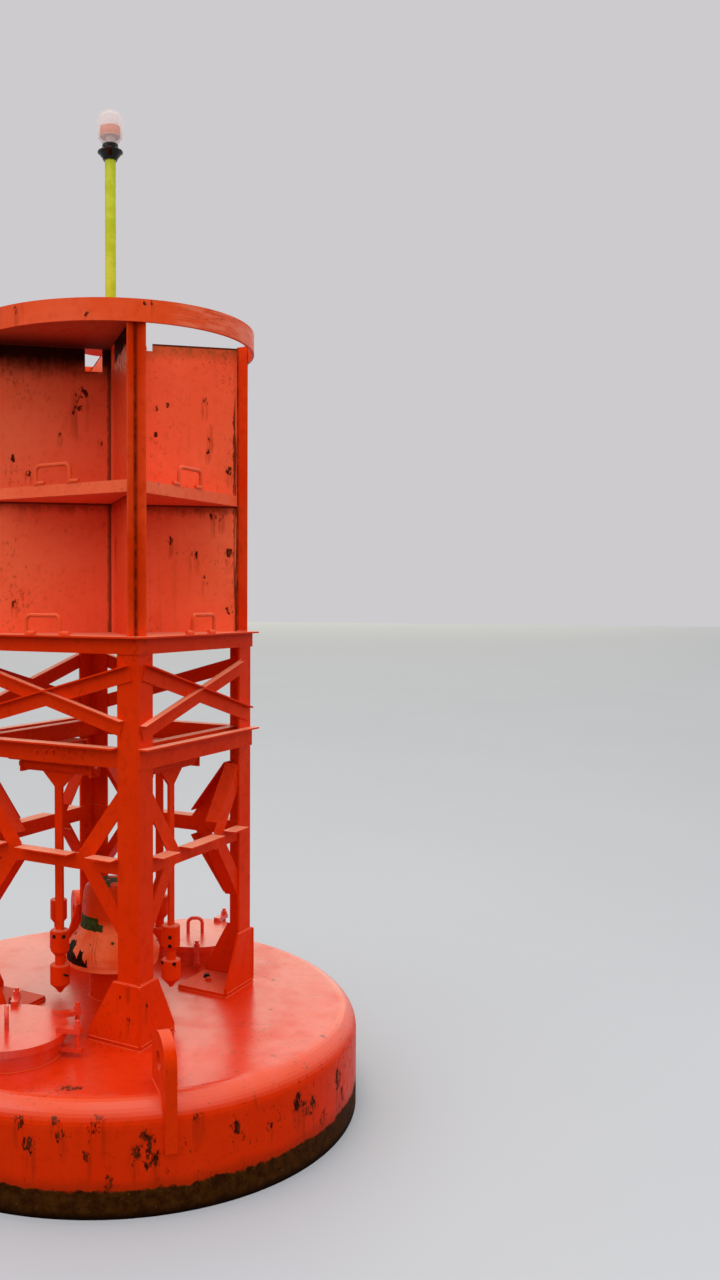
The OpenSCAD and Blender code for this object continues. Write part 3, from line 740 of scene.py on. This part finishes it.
class Finish(Enum):
    """The finishes by the part of the buoy that wears them."""

    TOWER = Enamel("tower enamel", "DC2E02", "E03406", "BA2202", chips=0.0, runs=0.20, gloss=0.42, sheen=0.07,
        specks=0.35, top_sheen=0.8,
        spots=((0.46, -0.523, 0.73, 0.012), (0.46, -0.523, 0.59, 0.014), (0.41, -0.523, 0.69, 0.013),
            (0.31, 0.41, 0.48, 0.020), (0.34, 0.37, 0.48, 0.018), (0.52, -0.47, 0.64, 0.014)))
    DECK = Enamel("hull enamel", "DC2C04", "E03208", "C22404", chips=0.40, runs=0.30, gloss=0.34, sheen=0.05,
        specks=0.80, marks=(growth_and_edge_highlight,),
        spots=round_spots(HULL_R, (-57, 0.39, 0.028), (-70, 0.29, 0.028), (-72, 0.38, 0.022),
            (-64, 0.34, 0.022), (-65, 0.40, 0.018), (-38, 0.38, 0.024), (-9, 0.26, 0.034),
            (-11.5, 0.26, 0.028), (-5, 0.17, 0.030), (-48, 0.31, 0.034), (-47, 0.23, 0.032),
            (-50, 0.27, 0.026), (-59, 0.26, 0.018), (-30, 0.30, 0.020),
            (-25, 0.43, 0.016), (-22, 0.26, 0.018), (-14, 0.31, 0.026), (2, 0.29, 0.036), (4, 0.19, 0.030),
            (-55, 0.15, 0.022), (31, 0.22, 0.030), (47, 0.33, 0.022), (66, 0.19, 0.026), (88, 0.30, 0.034),
            (92, 0.25, 0.024), (113, 0.36, 0.020), (131, 0.18, 0.028), (152, 0.29, 0.034),
            (156, 0.23, 0.026), (178, 0.33, 0.024), (197, 0.20, 0.030), (214, 0.31, 0.034),
            (218, 0.26, 0.022), (241, 0.22, 0.028), (259, 0.34, 0.022))
        + ((0.60, 0.60, 0.46, 0.010), (0.75, 0.63, 0.46, 0.011), (1.13, 0.06, 0.46, 0.014),
            (0.78, 0.23, 0.46, 0.010), (0.52, 0.01, 0.46, 0.012), (0.47, -0.96, 0.46, 0.026),
            (0.50, -0.94, 0.46, 0.020), (1.04, -0.25, 0.46, 0.012)))
    PANEL = Enamel("reflector enamel", "F6603A", "FA6C46", "E04C24", chips=0.12, runs=0.15, gloss=0.52,
        sheen=0.10, specks=0.35, marks=(soot_and_shade,),
        spots=plate_spots((-0.115, 3.43, 0.036), (-0.10, 3.46, 0.026), (-0.13, 3.38, 0.014),
            (-0.18, 3.26, 0.012), (-0.04, 3.23, 0.014), (-0.34, 3.14, 0.014), (-0.29, 3.07, 0.014),
            (-0.34, 2.43, 0.014), (0.16, 3.41, 0.011), (0.20, 3.43, 0.010), (0.34, 3.45, 0.018),
            (0.16, 3.28, 0.009), (0.36, 3.28, 0.016), (0.36, 3.33, 0.012), (0.35, 3.21, 0.013),
            (0.43, 3.11, 0.016), (0.37, 2.88, 0.020), (0.40, 2.87, 0.016), (0.21, 2.75, 0.017),
            (0.30, 2.68, 0.020), (0.43, 2.69, 0.018), (0.34, 2.55, 0.017), (0.43, 2.40, 0.020))
        + ((0.104, -0.104, 2.72, 0.026), (-0.14, 0.14, 3.41, 0.026), (-0.33, 0.33, 3.12, 0.018),
            (-0.40, 0.40, 2.86, 0.022), (-0.20, 0.20, 2.62, 0.020), (-0.42, 0.42, 2.45, 0.018),
            (0.30, -0.30, 3.30, 0.016)))
    CAGE = Enamel("cage enamel", "D63606", "E4481A", "AC2804", chips=0.16, runs=0.30, gloss=0.44, sheen=0.25,
        top_sheen=0.6, marks=(heel,))
    RING = Enamel("ring enamel", "EA4E20", "F2603A", "CC3810", chips=0.12, runs=0.20, gloss=0.44, sheen=0.35,
        top_sheen=0.5, marks=(scrape_and_highlight,),
        spots=round_spots(RING_R, (-90.5, 3.72, 0.017), (-62, 3.675, 0.014), (-40, 3.745, 0.014),
            (-42, 3.74, 0.012), (11, 3.62, 0.020), (13, 3.66, 0.016)))
    BELL = BellSkin()
    GLOBE = ClearGlobe()
    MAST = TwoTone("lime enamel", "B8C028", "C8CE40", 0.42, 0.05)
    BASE = TwoTone("black plastic", "0A0A0A", "16140F", 0.34, coat=0.4)
    OPTIC = SalmonPlastic()
    FOULED = TwoTone("fouled steel", "14100A", "2A1E10", 0.8, 0.05, 0.002)
    WEIGHT = TwoTone("cast weight", "120E0A", "241A12", 0.85, 0.04, 0.003)
    BOLTS = TwoTone("dark bolt steel", "140C08", "34201A", 0.5, 0.01)


# The nodes that wear each finish, apart from the tower's, which is on all the others
WORN_BY = {
    Finish.DECK: ("hull", "pocket_lid_s", "pocket_lid_n", "battery_pocket_s", "battery_pocket_n",
        "lid_dogs_s", "lid_dogs_n"),
    Finish.PANEL: ("reflector_long", "reflector_cross", "top_plate", "mid_shelves"),
    Finish.CAGE: ("cage_legs",),
    Finish.RING: ("ring", "rungs", "mast_hub", "mast_socket"),
    Finish.BELL: ("bell",),
    Finish.GLOBE: ("lantern_lens",),
    Finish.MAST: ("mast",),
    Finish.BASE: ("lantern_base",),
    Finish.OPTIC: ("lantern_optic",),
    Finish.FOULED: ("tail_tube", "mooring_lugs"),
    Finish.WEIGHT: ("counterweight",)}


# Mesh helpers


class Face(Enum):
    """The faces of the tower, by their quarter turns from the one that looks along -Y."""

    S = 0
    E = 1
    N = 2
    W = 3


def add_object(name: str, draw: Callable[[bmesh.types.BMesh], None], material: bpy.types.Material,
        body: str = ROOT, smooth: bool = True) -> bpy.types.Object:
    """Makes one mesh object, gives it a finish and lets it ride on a body.

    Args:
        name: the object's name.
        draw: draws into an empty bmesh.
        material: the finish.
        body: the body it moves with.
        smooth: whether faces are shaded smooth.

    Returns:
        The new object.
    """
    bm = bmesh.new()
    draw(bm)
    bmesh.ops.recalc_face_normals(bm, faces=bm.faces)
    for face in bm.faces:
        face.smooth = smooth
    mesh = bpy.data.meshes.new(name)
    bm.to_mesh(mesh)
    bm.free()
    mesh.materials.append(material)
    obj = bpy.data.objects.new(name, mesh)
    bpy.context.scene.collection.objects.link(obj)
    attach(obj, body)
    return obj


def sweep(bm: bmesh.types.BMesh, path: Sequence[Vector], radius: float, sides: int = 6, closed: bool = False,
        ripple: float = 0.0) -> None:
    """Draws a tube along points, with a ripple like the one on a weld bead.

    Args:
        bm: the mesh to draw in.
        path: points in metres.
        radius: mean radius of the tube.
        sides: corners of its section.
        closed: whether the last point joins the first.
        ripple: share by which every second ring is thinner.
    """
    places = []
    for i, point in enumerate(path):
        before = path[i - 1] if closed or i > 0 else point
        after = path[(i + 1) % len(path)] if closed or i < len(path) - 1 else point
        along = (after - before).normalized()
        side = along.cross(Vector((0, 0, 1)))
        side = side.normalized() if side.length > 0.05 else along.cross(Vector((1, 0, 0))).normalized()
        turn = Matrix((side, side.cross(along), -along)).transposed().to_4x4()
        places.append(Matrix.Translation(point) @ turn @ Matrix.Scale(1.0 - (ripple if i % 2 else 0.0), 4))
    ring = bmesh.ops.create_circle(bm, cap_ends=not closed, segments=sides, radius=radius,
        matrix=places[0])["verts"]
    first = {edge for vert in ring for edge in vert.link_edges if edge.other_vert(vert) in ring}
    edges = list(first)
    for old, new in zip(places, places[1:]):
        geometry = bmesh.ops.extrude_edge_only(bm, edges=edges)["geom"]
        verts = [item for item in geometry if isinstance(item, bmesh.types.BMVert)]
        bmesh.ops.transform(bm, matrix=new @ old.inverted(), verts=verts)
        moved = set(verts)
        edges = [item for item in geometry if isinstance(item, bmesh.types.BMEdge)
            and set(item.verts) <= moved]
    if closed:
        bmesh.ops.bridge_loops(bm, edges=edges + list(first))
    else:
        bmesh.ops.contextual_create(bm, geom=edges)


def stepped(points: Sequence[Point], step: float, closed: bool = False) -> list[Vector]:
    """Divides a line of straight runs into equal short steps.

    Args:
        points: the corners.
        step: about how far apart the new points are.
        closed: whether the last corner joins the first.

    Returns:
        The points.
    """
    out: list[Vector] = []
    corners = [Vector(p) for p in points]
    for a, b in zip(corners, corners[1:] + corners[:1] if closed else corners[1:]):
        n = max(1, round((b - a).length / step))
        out.extend(a.lerp(b, i / n) for i in range(n))
    if not closed:
        out.append(corners[-1])
    return out


def circle(cx: float, cy: float, z: float, r: float, step: float) -> list[Vector]:
    """Divides a level circle into an even number of short steps.

    Args:
        cx: the middle's x.
        cy: the middle's y.
        z: the circle's height.
        r: its radius.
        step: about how far apart the points are.

    Returns:
        The points.
    """
    n = 2 * max(12, round(math.pi * r / step))
    turns = [2 * math.pi * i / n for i in range(n)]
    return [Vector((cx + r * math.cos(a), cy + r * math.sin(a), z)) for a in turns]


def revolve(bm: bmesh.types.BMesh, profile: Sequence[tuple[float, float]], segments: int,
        matrix: Matrix) -> None:
    """Spins a profile about Z and places it.

    Args:
        bm: the mesh to draw in.
        profile: pairs of radius and height, from one end to the other.
        segments: divisions round the axis.
        matrix: where the turned piece goes.
    """
    before = set(bm.verts)
    verts = [bm.verts.new((r, 0.0, z)) for r, z in profile]
    edges = [bm.edges.new(pair) for pair in zip(verts, verts[1:])]
    bmesh.ops.spin(bm, geom=verts + edges, cent=(0, 0, 0), axis=(0, 0, 1), angle=2 * math.pi, steps=segments,
        use_merge=True, use_duplicate=False)
    made = [vert for vert in bm.verts if vert not in before]
    bmesh.ops.remove_doubles(bm, verts=made, dist=1e-6)
    made = [vert for vert in bm.verts if vert not in before]
    bmesh.ops.transform(bm, matrix=matrix, verts=made)


def facing(position: Point, direction: Point) -> Matrix:
    """A placement whose Z points along a direction."""
    turn = Vector((0, 0, 1)).rotation_difference(Vector(direction))
    return Matrix.Translation(Vector(position)) @ turn.to_matrix().to_4x4()


def turned(point: Point, quarter: int) -> Point:
    """Turns a point by quarter turns about the buoy's axis.

    Args:
        point: the point.
        quarter: number of quarter turns.

    Returns:
        The turned point.
    """
    x, y, z = point
    for _ in range(quarter):
        x, y = -y, x
    return (x, y, z)


def hex_bolt(bm: bmesh.types.BMesh, position: Point, direction: Point, across: float, height: float) -> None:
    """Draws a washer and a hexagon head with a chamfered top, seated on a face.

    Args:
        bm: the mesh to draw in.
        position: a point on the face.
        direction: where the face looks.
        across: width of the head over its flats.
        height: height of the head.
    """
    place = facing(position, direction)
    r = across / math.sqrt(3)
    washer = [(0, -0.001), (r * 1.22, -0.001), (r * 1.25, 0.002), (r * 1.18, 0.004), (0, 0.004)]
    head = [(0, 0.003), (r, 0.003), (r, height * 0.82), (r * 0.86, height), (0, height)]
    revolve(bm, washer, 24, place)
    revolve(bm, head, 6, place)


def deck_height(r: float) -> float:
    """Finds the height of the hull's top surface.

    Args:
        r: distance from the axis.

    Returns:
        The height above the water.
    """
    inner = HULL_R - EDGE_R
    if r <= inner:
        return DECK_Z
    return DECK_Z - EDGE_R + math.sqrt(max(EDGE_R ** 2 - (r - inner) ** 2, 0.0))


# Sub-assemblies


@dataclass(frozen=True)
class Welds:
    """Weld beads where the tower and the fittings meet the deck, the foot plates and the cage's floor.

    Attributes:
        paint: the enamel over them.
        bead: radius of a bead on the deck.
        thin: radius of a bead higher up.
        step: distance from one ripple to the next.
        ripple: share by which every second ring of a bead is thinner.
        pocket_at: distance of a battery pocket's axis from the buoy's axis.
        pocket_r: radius of the bead round a pocket.
        pedestal_r: radius of the bead round the bell's pedestal.
        foot_in: inner edge of a foot plate.
        foot_run: ends of the bead along a gusset's foot.
        gusset_run: ends of the bead along a gusset's top.
        gusset_z: height of that bead.
        corner_run: lowest and highest point of the bead where two gussets meet.
        lug_turn: turn of the lifting lugs' plane.
        lug_half: half the distance between the beads on a lug's two sides.
        lug_from: inner end of a lug.
        lug_down: highest point of a lug's beads on the hull's side, and their fall from ring to ring.
        cage: distance of the cage legs' heels from the buoy's middle planes.
        cage_edge: outer end of a bead on the cage's floor.
        cage_share: its inner end, as a share of the outer one.
        cage_z: height of those beads.
        hub_r: radius of the bead round the mast's socket.
        hub_z: height of that bead.
    """

    paint: bpy.types.Material
    bead: float = 0.0055
    thin: float = 0.0055 * 0.8
    step: float = 0.008
    ripple: float = 0.18
    pocket_at: float = 0.8
    pocket_r: float = 0.251
    pedestal_r: float = 0.1175
    foot_in: float = 0.240
    foot_run: tuple[float, float] = (0.244, 0.520)
    gusset_run: tuple[float, float] = (0.375, 0.505)
    gusset_z: float = 0.7485
    corner_run: tuple[float, float] = (0.482, 0.745)
    lug_turn: float = math.radians(-45 + 1.6)
    lug_half: float = 0.0255
    lug_from: float = 0.998
    lug_down: tuple[float, float] = (0.355, 0.0085)
    cage: float = 0.458
    cage_edge: float = 0.519
    cage_share: float = 0.88
    cage_z: float = 2.2915
    hub_r: float = 0.0455
    hub_z: float = 3.7045

    def build(self) -> list[bpy.types.Object]:
        """Draws the beads.

        Returns:
            The new objects.
        """
        parts = {"deck_welds": self._deck, "tower_welds": self._tower, "cage_welds": self._cage}
        return [add_object(name, draw, self.paint) for name, draw in parts.items()]

    def _line(self, bm: bmesh.types.BMesh, points: Sequence[Point], face: Face, radius: float,
            closed: bool = False) -> None:
        """Draws one bead along straight runs.

        Args:
            bm: the mesh to draw in.
            points: the bead's corners in the face that looks along -Y.
            face: the face that it is drawn in.
            radius: the bead's radius.
            closed: whether the bead goes all the way round.
        """
        path = stepped([turned(point, face.value) for point in points], self.step, closed)
        sweep(bm, path, radius, closed=closed, ripple=self.ripple)

    def _deck(self, bm: bmesh.types.BMesh) -> None:
        """Draws the beads on the deck, round pockets, pedestal, foot plates and lifting lugs.

        Args:
            bm: the mesh to draw in.
        """
        rounds = ((-self.pocket_at, self.pocket_r), (self.pocket_at, self.pocket_r), (0.0, self.pedestal_r))
        for y, r in rounds:
            sweep(bm, circle(0, y, DECK_Z, r, self.step), self.bead, closed=True, ripple=self.ripple)
        near, far = self.foot_in, HALF + GUSSET_T
        foot = [(near, -far, DECK_Z), (far, -far, DECK_Z), (far, -near, DECK_Z), (near, -near, DECK_Z)]
        for face in Face:
            self._line(bm, foot, face, self.bead, True)
        for turn in (self.lug_turn, self.lug_turn + math.pi):
            for side in (-self.lug_half, self.lug_half):
                self._lug(bm, turn, side)

    def _lug(self, bm: bmesh.types.BMesh, turn: float, off: float) -> None:
        """Draws one bead along a lifting lug, over the deck's edge and down the hull's side.

        Args:
            bm: the mesh to draw in.
            turn: angle of the lug from +X.
            off: distance of the bead from the lug's middle plane.
        """
        high, fall = self.lug_down
        out = [self.lug_from + (HULL_R - self.lug_from) * i / 31 for i in range(32)]
        run = [(r, deck_height(r)) for r in out] + [(HULL_R, high - fall * i) for i in range(12)]
        c, s = math.cos(turn), math.sin(turn)
        path = [Vector((r * c - off * s, r * s + off * c, z)) for r, z in run]
        sweep(bm, path, self.bead, ripple=self.ripple)

    def _tower(self, bm: bmesh.types.BMesh) -> None:
        """Draws the beads of the gussets at each leg.

        Args:
            bm: the mesh to draw in.
        """
        corner = HALF + GUSSET_T
        # The middle of a bead stands just off the plate that it runs along
        plate, leg = corner + 0.0005, HALF + 0.001
        (foot_in, foot_out), (top_in, top_out), top = self.foot_run, self.gusset_run, self.gusset_z
        low, high = self.corner_run
        for face in Face:
            for run in (((foot_in, -plate, FOOT_TOP), (foot_out, -plate, FOOT_TOP)),
                    ((plate, -foot_out, FOOT_TOP), (plate, -foot_in, FOOT_TOP)),
                    ((top_in, -leg, top), (top_out, -leg, top)),
                    ((leg, -top_out, top), (leg, -top_in, top)),
                    ((corner, -corner, low), (corner, -corner, high))):
                self._line(bm, run, face, self.thin)

    def _cage(self, bm: bmesh.types.BMesh) -> None:
        """Draws the beads at the feet of the cage legs and round the mast's socket.

        Args:
            bm: the mesh to draw in.
        """
        side, edge, z = self.cage, self.cage_edge, self.cage_z
        inner = edge * self.cage_share
        for face in Face:
            self._line(bm, ((edge, -side, z), (inner, -side, z)), face, self.thin)
            self._line(bm, ((side, -edge, z), (side, -inner, z)), face, self.thin)
        sweep(bm, circle(0, 0, self.hub_z, self.hub_r, self.step), self.thin, closed=True, ripple=self.ripple)


@dataclass(frozen=True)
class TapperHardware:
    """The dark bolts of one hammer, which differ between neighbouring faces as in the photograph.

    Attributes:
        face: the tapper's face.
        steel: finish of the bolts.
        shift: sideways place of the hammer in its face.
        reach: distance of the hammer from the buoy's axis.
        clamp: the bolts where the hammer has two, as angle in degrees, distance and height.
        socket: the bolts where it has four.
        across: width of a head over its flats.
        height: height of a head.
        wedge_at: place of the wedge in the hammer that has two bolts.
        wedge: size of the wedge.
        wedge_lean: its lean.
    """

    face: Face
    steel: bpy.types.Material
    shift: float = -0.038
    reach: float = 0.375
    clamp: tuple[Point, ...] = ((-90, 0.0435, 0.858), (-28, 0.0435, 0.858))
    socket: tuple[Point, ...] = ((-154, 0.0435, 0.833), (-154, 0.0435, 0.790), (150, 0.0465, 0.704),
        (-128, 0.0465, 0.704))
    across: float = 0.013
    height: float = 0.006
    wedge_at: Point = (0.009, -0.388, 0.672)
    wedge: Point = (0.007, 0.034, 0.009)
    wedge_lean: float = -0.45

    def build(self) -> list[bpy.types.Object]:
        """Draws the bolts on the tapper.

        Returns:
            The new objects.
        """
        letter = self.face.name.lower()
        return [add_object("hammer_bolts_" + letter, self._draw, self.steel, "tapper_" + letter,
            False)]

    def _draw(self, bm: bmesh.types.BMesh) -> None:
        """Draws the heads, and on two of the hammers the wedge.

        Args:
            bm: the mesh to draw in.
        """
        q = self.face.value
        clamped = self.face in (Face.S, Face.N)
        for angle, r, z in self.clamp if clamped else self.socket:
            c, s = math.cos(math.radians(angle)), math.sin(math.radians(angle))
            place = turned((self.shift + r * c, -self.reach + r * s, z), q)
            hex_bolt(bm, place, turned((c, s, 0), q), self.across, self.height)
        if clamped:
            place = Matrix.Translation(turned(self.wedge_at, q)) @ Matrix.Rotation(q * math.pi / 2, 4, "Z")
            place = place @ Matrix.Rotation(self.wedge_lean, 4, "X") @ Matrix.Diagonal((*self.wedge, 1))
            bmesh.ops.create_cube(bm, size=1.0, matrix=place)


@dataclass(frozen=True)
class DeckFasteners:
    """Bolt heads on the middle girts and nuts on two of the foot plates.

    Attributes:
        bare: finish of the bare steel nuts.
        painted: finish of the heads that were painted over.
        girt_bolts: place along a girt and height of each of its heads.
        girt_at: distance of the girt's inner face from the buoy's axis.
        girt_head: width over the flats and height of those heads.
        nut: width over the flats and height of a nut.
        painted_nut: place of the painted nut on its foot plate.
        bare_nut: place of the bare nut.
    """

    bare: bpy.types.Material
    painted: bpy.types.Material
    girt_bolts: tuple[tuple[float, float], ...] = ((-0.073, 1.743), (-0.018, 1.749), (0.024, 1.752),
        (0.118, 1.760), (0.199, 1.766))
    girt_at: float = 0.4995
    girt_head: tuple[float, float] = (0.016, 0.009)
    nut: tuple[float, float] = (0.026, 0.016)
    painted_nut: Point = (0.344, 0.370, FOOT_TOP)
    bare_nut: Point = (0.307, 0.414, FOOT_TOP)

    def build(self) -> list[bpy.types.Object]:
        """Draws the heads and the nuts.

        Returns:
            The new objects.
        """
        return [add_object("girt_bolts", self._girts, self.painted, smooth=False),
            add_object("foot_nuts", lambda bm: self._nuts(bm, self.painted_nut), self.painted, smooth=False),
            add_object("bare_foot_nuts", lambda bm: self._nuts(bm, self.bare_nut), self.bare, smooth=False)]

    def _girts(self, bm: bmesh.types.BMesh) -> None:
        """Draws the heads on the four girts.

        Args:
            bm: the mesh to draw in.
        """
        for face in Face:
            for x, z in self.girt_bolts:
                place = turned((x, -self.girt_at, z), face.value)
                hex_bolt(bm, place, turned((0, -1, 0), face.value), *self.girt_head)

    def _nuts(self, bm: bmesh.types.BMesh, place: Point) -> None:
        """Draws one nut on two opposite foot plates."""
        for face in (Face.S, Face.N):
            hex_bolt(bm, turned(place, face.value), (0, 0, 1), *self.nut)


@dataclass(frozen=True)
class LanternTrim:
    """Ribs on the optic and screws round the base's flange.

    Attributes:
        optic: finish of the ribs.
        screw: finish of the screws.
        ribs: number of ribs.
        rib_z: height of the lowest rib.
        rib_gap: distance from rib to rib.
        rib_r: radius of the circle that a rib follows.
        rib_t: radius of a rib's own section.
        screws: number of screws.
        screw_r: distance of a screw from the mast's axis.
        screw_z: height of the flange.
        head: width over the flats and height of a screw's head.
    """

    optic: bpy.types.Material
    screw: bpy.types.Material
    ribs: int = 7
    rib_z: float = 4.7315
    rib_gap: float = 0.0072
    rib_r: float = 0.0475
    rib_t: float = 0.0022
    screws: int = 6
    screw_r: float = 0.0490
    screw_z: float = 4.6632
    head: tuple[float, float] = (0.007, 0.005)

    def build(self) -> list[bpy.types.Object]:
        """Draws the ribs and the screws.

        Returns:
            The new objects.
        """
        return [add_object("optic_ribs", self._ribs, self.optic),
            add_object("flange_screws", self._screws, self.screw, smooth=False)]

    def _ribs(self, bm: bmesh.types.BMesh) -> None:
        """Draws the ribs."""
        for i in range(self.ribs):
            sweep(bm, circle(0, 0, self.rib_z + self.rib_gap * i, self.rib_r, 0.006), self.rib_t, closed=True)

    def _screws(self, bm: bmesh.types.BMesh) -> None:
        """Draws the screws, the first at half a step from +X.

        Args:
            bm: the mesh to draw in.
        """
        for i in range(self.screws):
            a = math.radians((i + 0.5) * 360 / self.screws)
            place = (self.screw_r * math.cos(a), self.screw_r * math.sin(a), self.screw_z)
            hex_bolt(bm, place, (0, 0, 1), *self.head)


# The studio


@dataclass(frozen=True)
class Lamp:
    """A square soft lamp that looks at the buoy's middle.

    Attributes:
        name: the lamp's name.
        position: where it stands.
        size: its side.
        power: its power in watts.
        tint: its colour.
        mirrored: whether glossy surfaces show it.
    """

    name: str
    position: Point
    size: float
    power: float
    tint: Point = (1.0, 1.0, 1.0)
    mirrored: bool = True

    def build(self) -> None:
        """Adds the lamp to the scene."""
        data = bpy.data.lights.new(self.name, "AREA")
        data.size = self.size
        data.energy = self.power
        data.color = self.tint
        lamp = bpy.data.objects.new(self.name, data)
        lamp.location = self.position
        aim = Vector((0, 0, 2.0)) - Vector(self.position)
        lamp.rotation_euler = aim.to_track_quat("-Z", "Y").to_euler()
        lamp.visible_glossy = self.mirrored
        bpy.context.scene.collection.objects.link(lamp)


@dataclass(frozen=True)
class Studio:
    """Pale floor at the waterline, soft lights and the camera that stands where the photograph's did.

    Attributes:
        floor: half the side of the floor.
        lamps: the lamps.
        sky: the linear colour of the world's light.
        backdrop: colour of the world where it is seen.
        camera_at: place of the camera.
        yaw: heading of the camera, counter-clockwise from +X.
        pitch: how far it looks down.
        focal_px: focal length over the height of a pixel in the photograph.
        axis_px: column of the photograph that the camera's axis meets.
        width_px: width of the photograph.
        height_px: height of the photograph.
    """

    floor: float = 110.0
    lamps: tuple[Lamp, ...] = (
        Lamp("key", (-3.0, -7.0, 6.5), 6.0, 120.0),
        Lamp("fill", (7.0, -3.0, 4.5), 5.0, 49.0),
        Lamp("overhead", (1.5, -1.5, 11.0), 6.0, 300.0, mirrored=False),
        Lamp("sky panel", (-56.0, 100.0, 56.0), 112.0, 32000.0, (1.0, 0.92, 0.62)))
    sky: Color = (0.92, 0.96, 1.0, 1.0)
    backdrop: str = "CDCBCE"
    camera_at: Point = (3.183, -4.408, 2.445)
    yaw: float = 2.1149
    pitch: float = 0.0357
    focal_px: float = 1084.4
    axis_px: float = 200.0
    width_px: float = 720.0
    height_px: float = 1280.0

    def build(self) -> None:
        """Adds the floor, the world, the lamps and the camera."""
        self._floor()
        self._world()
        for lamp in self.lamps:
            lamp.build()
        self._camera()

    def _floor(self) -> None:
        """Adds the floor, which is pale where it is seen and darker in the light that it sends back."""
        bm = bmesh.new()
        bmesh.ops.create_grid(bm, x_segments=1, y_segments=1, size=self.floor)
        mesh = bpy.data.meshes.new("floor")
        bm.to_mesh(mesh)
        bm.free()
        g = Skin("pale floor")
        clouds = g.add("TexNoise", g.coords, Scale=1 / 3.0, Detail=3.0, Roughness=0.5)
        away = g.add("VectorMath", g.coords, operation="LENGTH")
        pale = g.add("Mix", clouds, "B8B8BA", "BEBEC0", **TONES)
        pale = g.add("Mix", g.add("MapRange", away, 4.0, 70.0, **SOFT), pale, "B0B0B2", **TONES)
        mesh.materials.append(g.finish(g.add("Mix", g.background_share(), "58585A", pale, **TONES), 0.75))
        floor = bpy.data.objects.new("floor", mesh)
        bpy.context.scene.collection.objects.link(floor)

    def _world(self) -> None:
        """Adds the world, whose light is plain and whose face is the backdrop's colour."""
        world = bpy.data.worlds.new("studio")
        world.use_nodes = True
        g = Graph(world.node_tree)
        back = g.tree.nodes["Background"]
        g.put(back.inputs["Color"], g.add("Mix", g.background_share(), self.sky, self.backdrop, **TONES))
        g.put(back.inputs["Strength"], 1.0)
        bpy.context.scene.world = world

    def _camera(self) -> None:
        """Adds the camera, shifted sideways because the photograph was cut from a wider picture."""
        data = bpy.data.cameras.new("camera")
        data.sensor_width = 36.0
        data.lens = self.focal_px * data.sensor_width / self.height_px
        data.shift_x = (self.width_px / 2 - self.axis_px) / self.height_px
        data.clip_end = 1000.0
        camera = bpy.data.objects.new("camera", data)
        level = math.cos(self.pitch)
        ahead = Vector((math.cos(self.yaw) * level, math.sin(self.yaw) * level, -math.sin(self.pitch)))
        camera.location = self.camera_at
        camera.rotation_euler = ahead.to_track_quat("-Z", "Y").to_euler()
        bpy.context.scene.collection.objects.link(camera)
        bpy.context.scene.camera = camera


def paint(frame: dict, materials: dict[Finish, bpy.types.Material]) -> None:
    """Gives every solid of the frame its finish.

    Args:
        materials: the material of each finish.
    """
    worn = {name: finish for finish, names in WORN_BY.items() for name in names}
    for name, obj in frame["nodes"].items():
        for slot in obj.material_slots:
            slot.material = materials[worn.get(name, Finish.TOWER)]


def main() -> None:
    """Loads the frame, paints it, adds the small work and the studio."""
    logging.basicConfig(level=logging.INFO, format="%(name)s: %(message)s")
    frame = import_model()
    bpy.context.scene.view_settings.view_transform = "Standard"
    materials = {finish: finish.value.build() for finish in Finish}
    paint(frame, materials)
    tower, steel = materials[Finish.TOWER], materials[Finish.BOLTS]
    assemblies = [Welds(tower), *(TapperHardware(face, steel) for face in Face), DeckFasteners(steel, tower),
        LanternTrim(materials[Finish.OPTIC], materials[Finish.BASE])]
    for assembly in assemblies:
        for piece in assembly.build():
            LOG.info("%s: %s, %d faces", type(assembly).__name__, piece.name, len(piece.data.polygons))
    Studio().build()


if __name__ == "__main__":
    main()
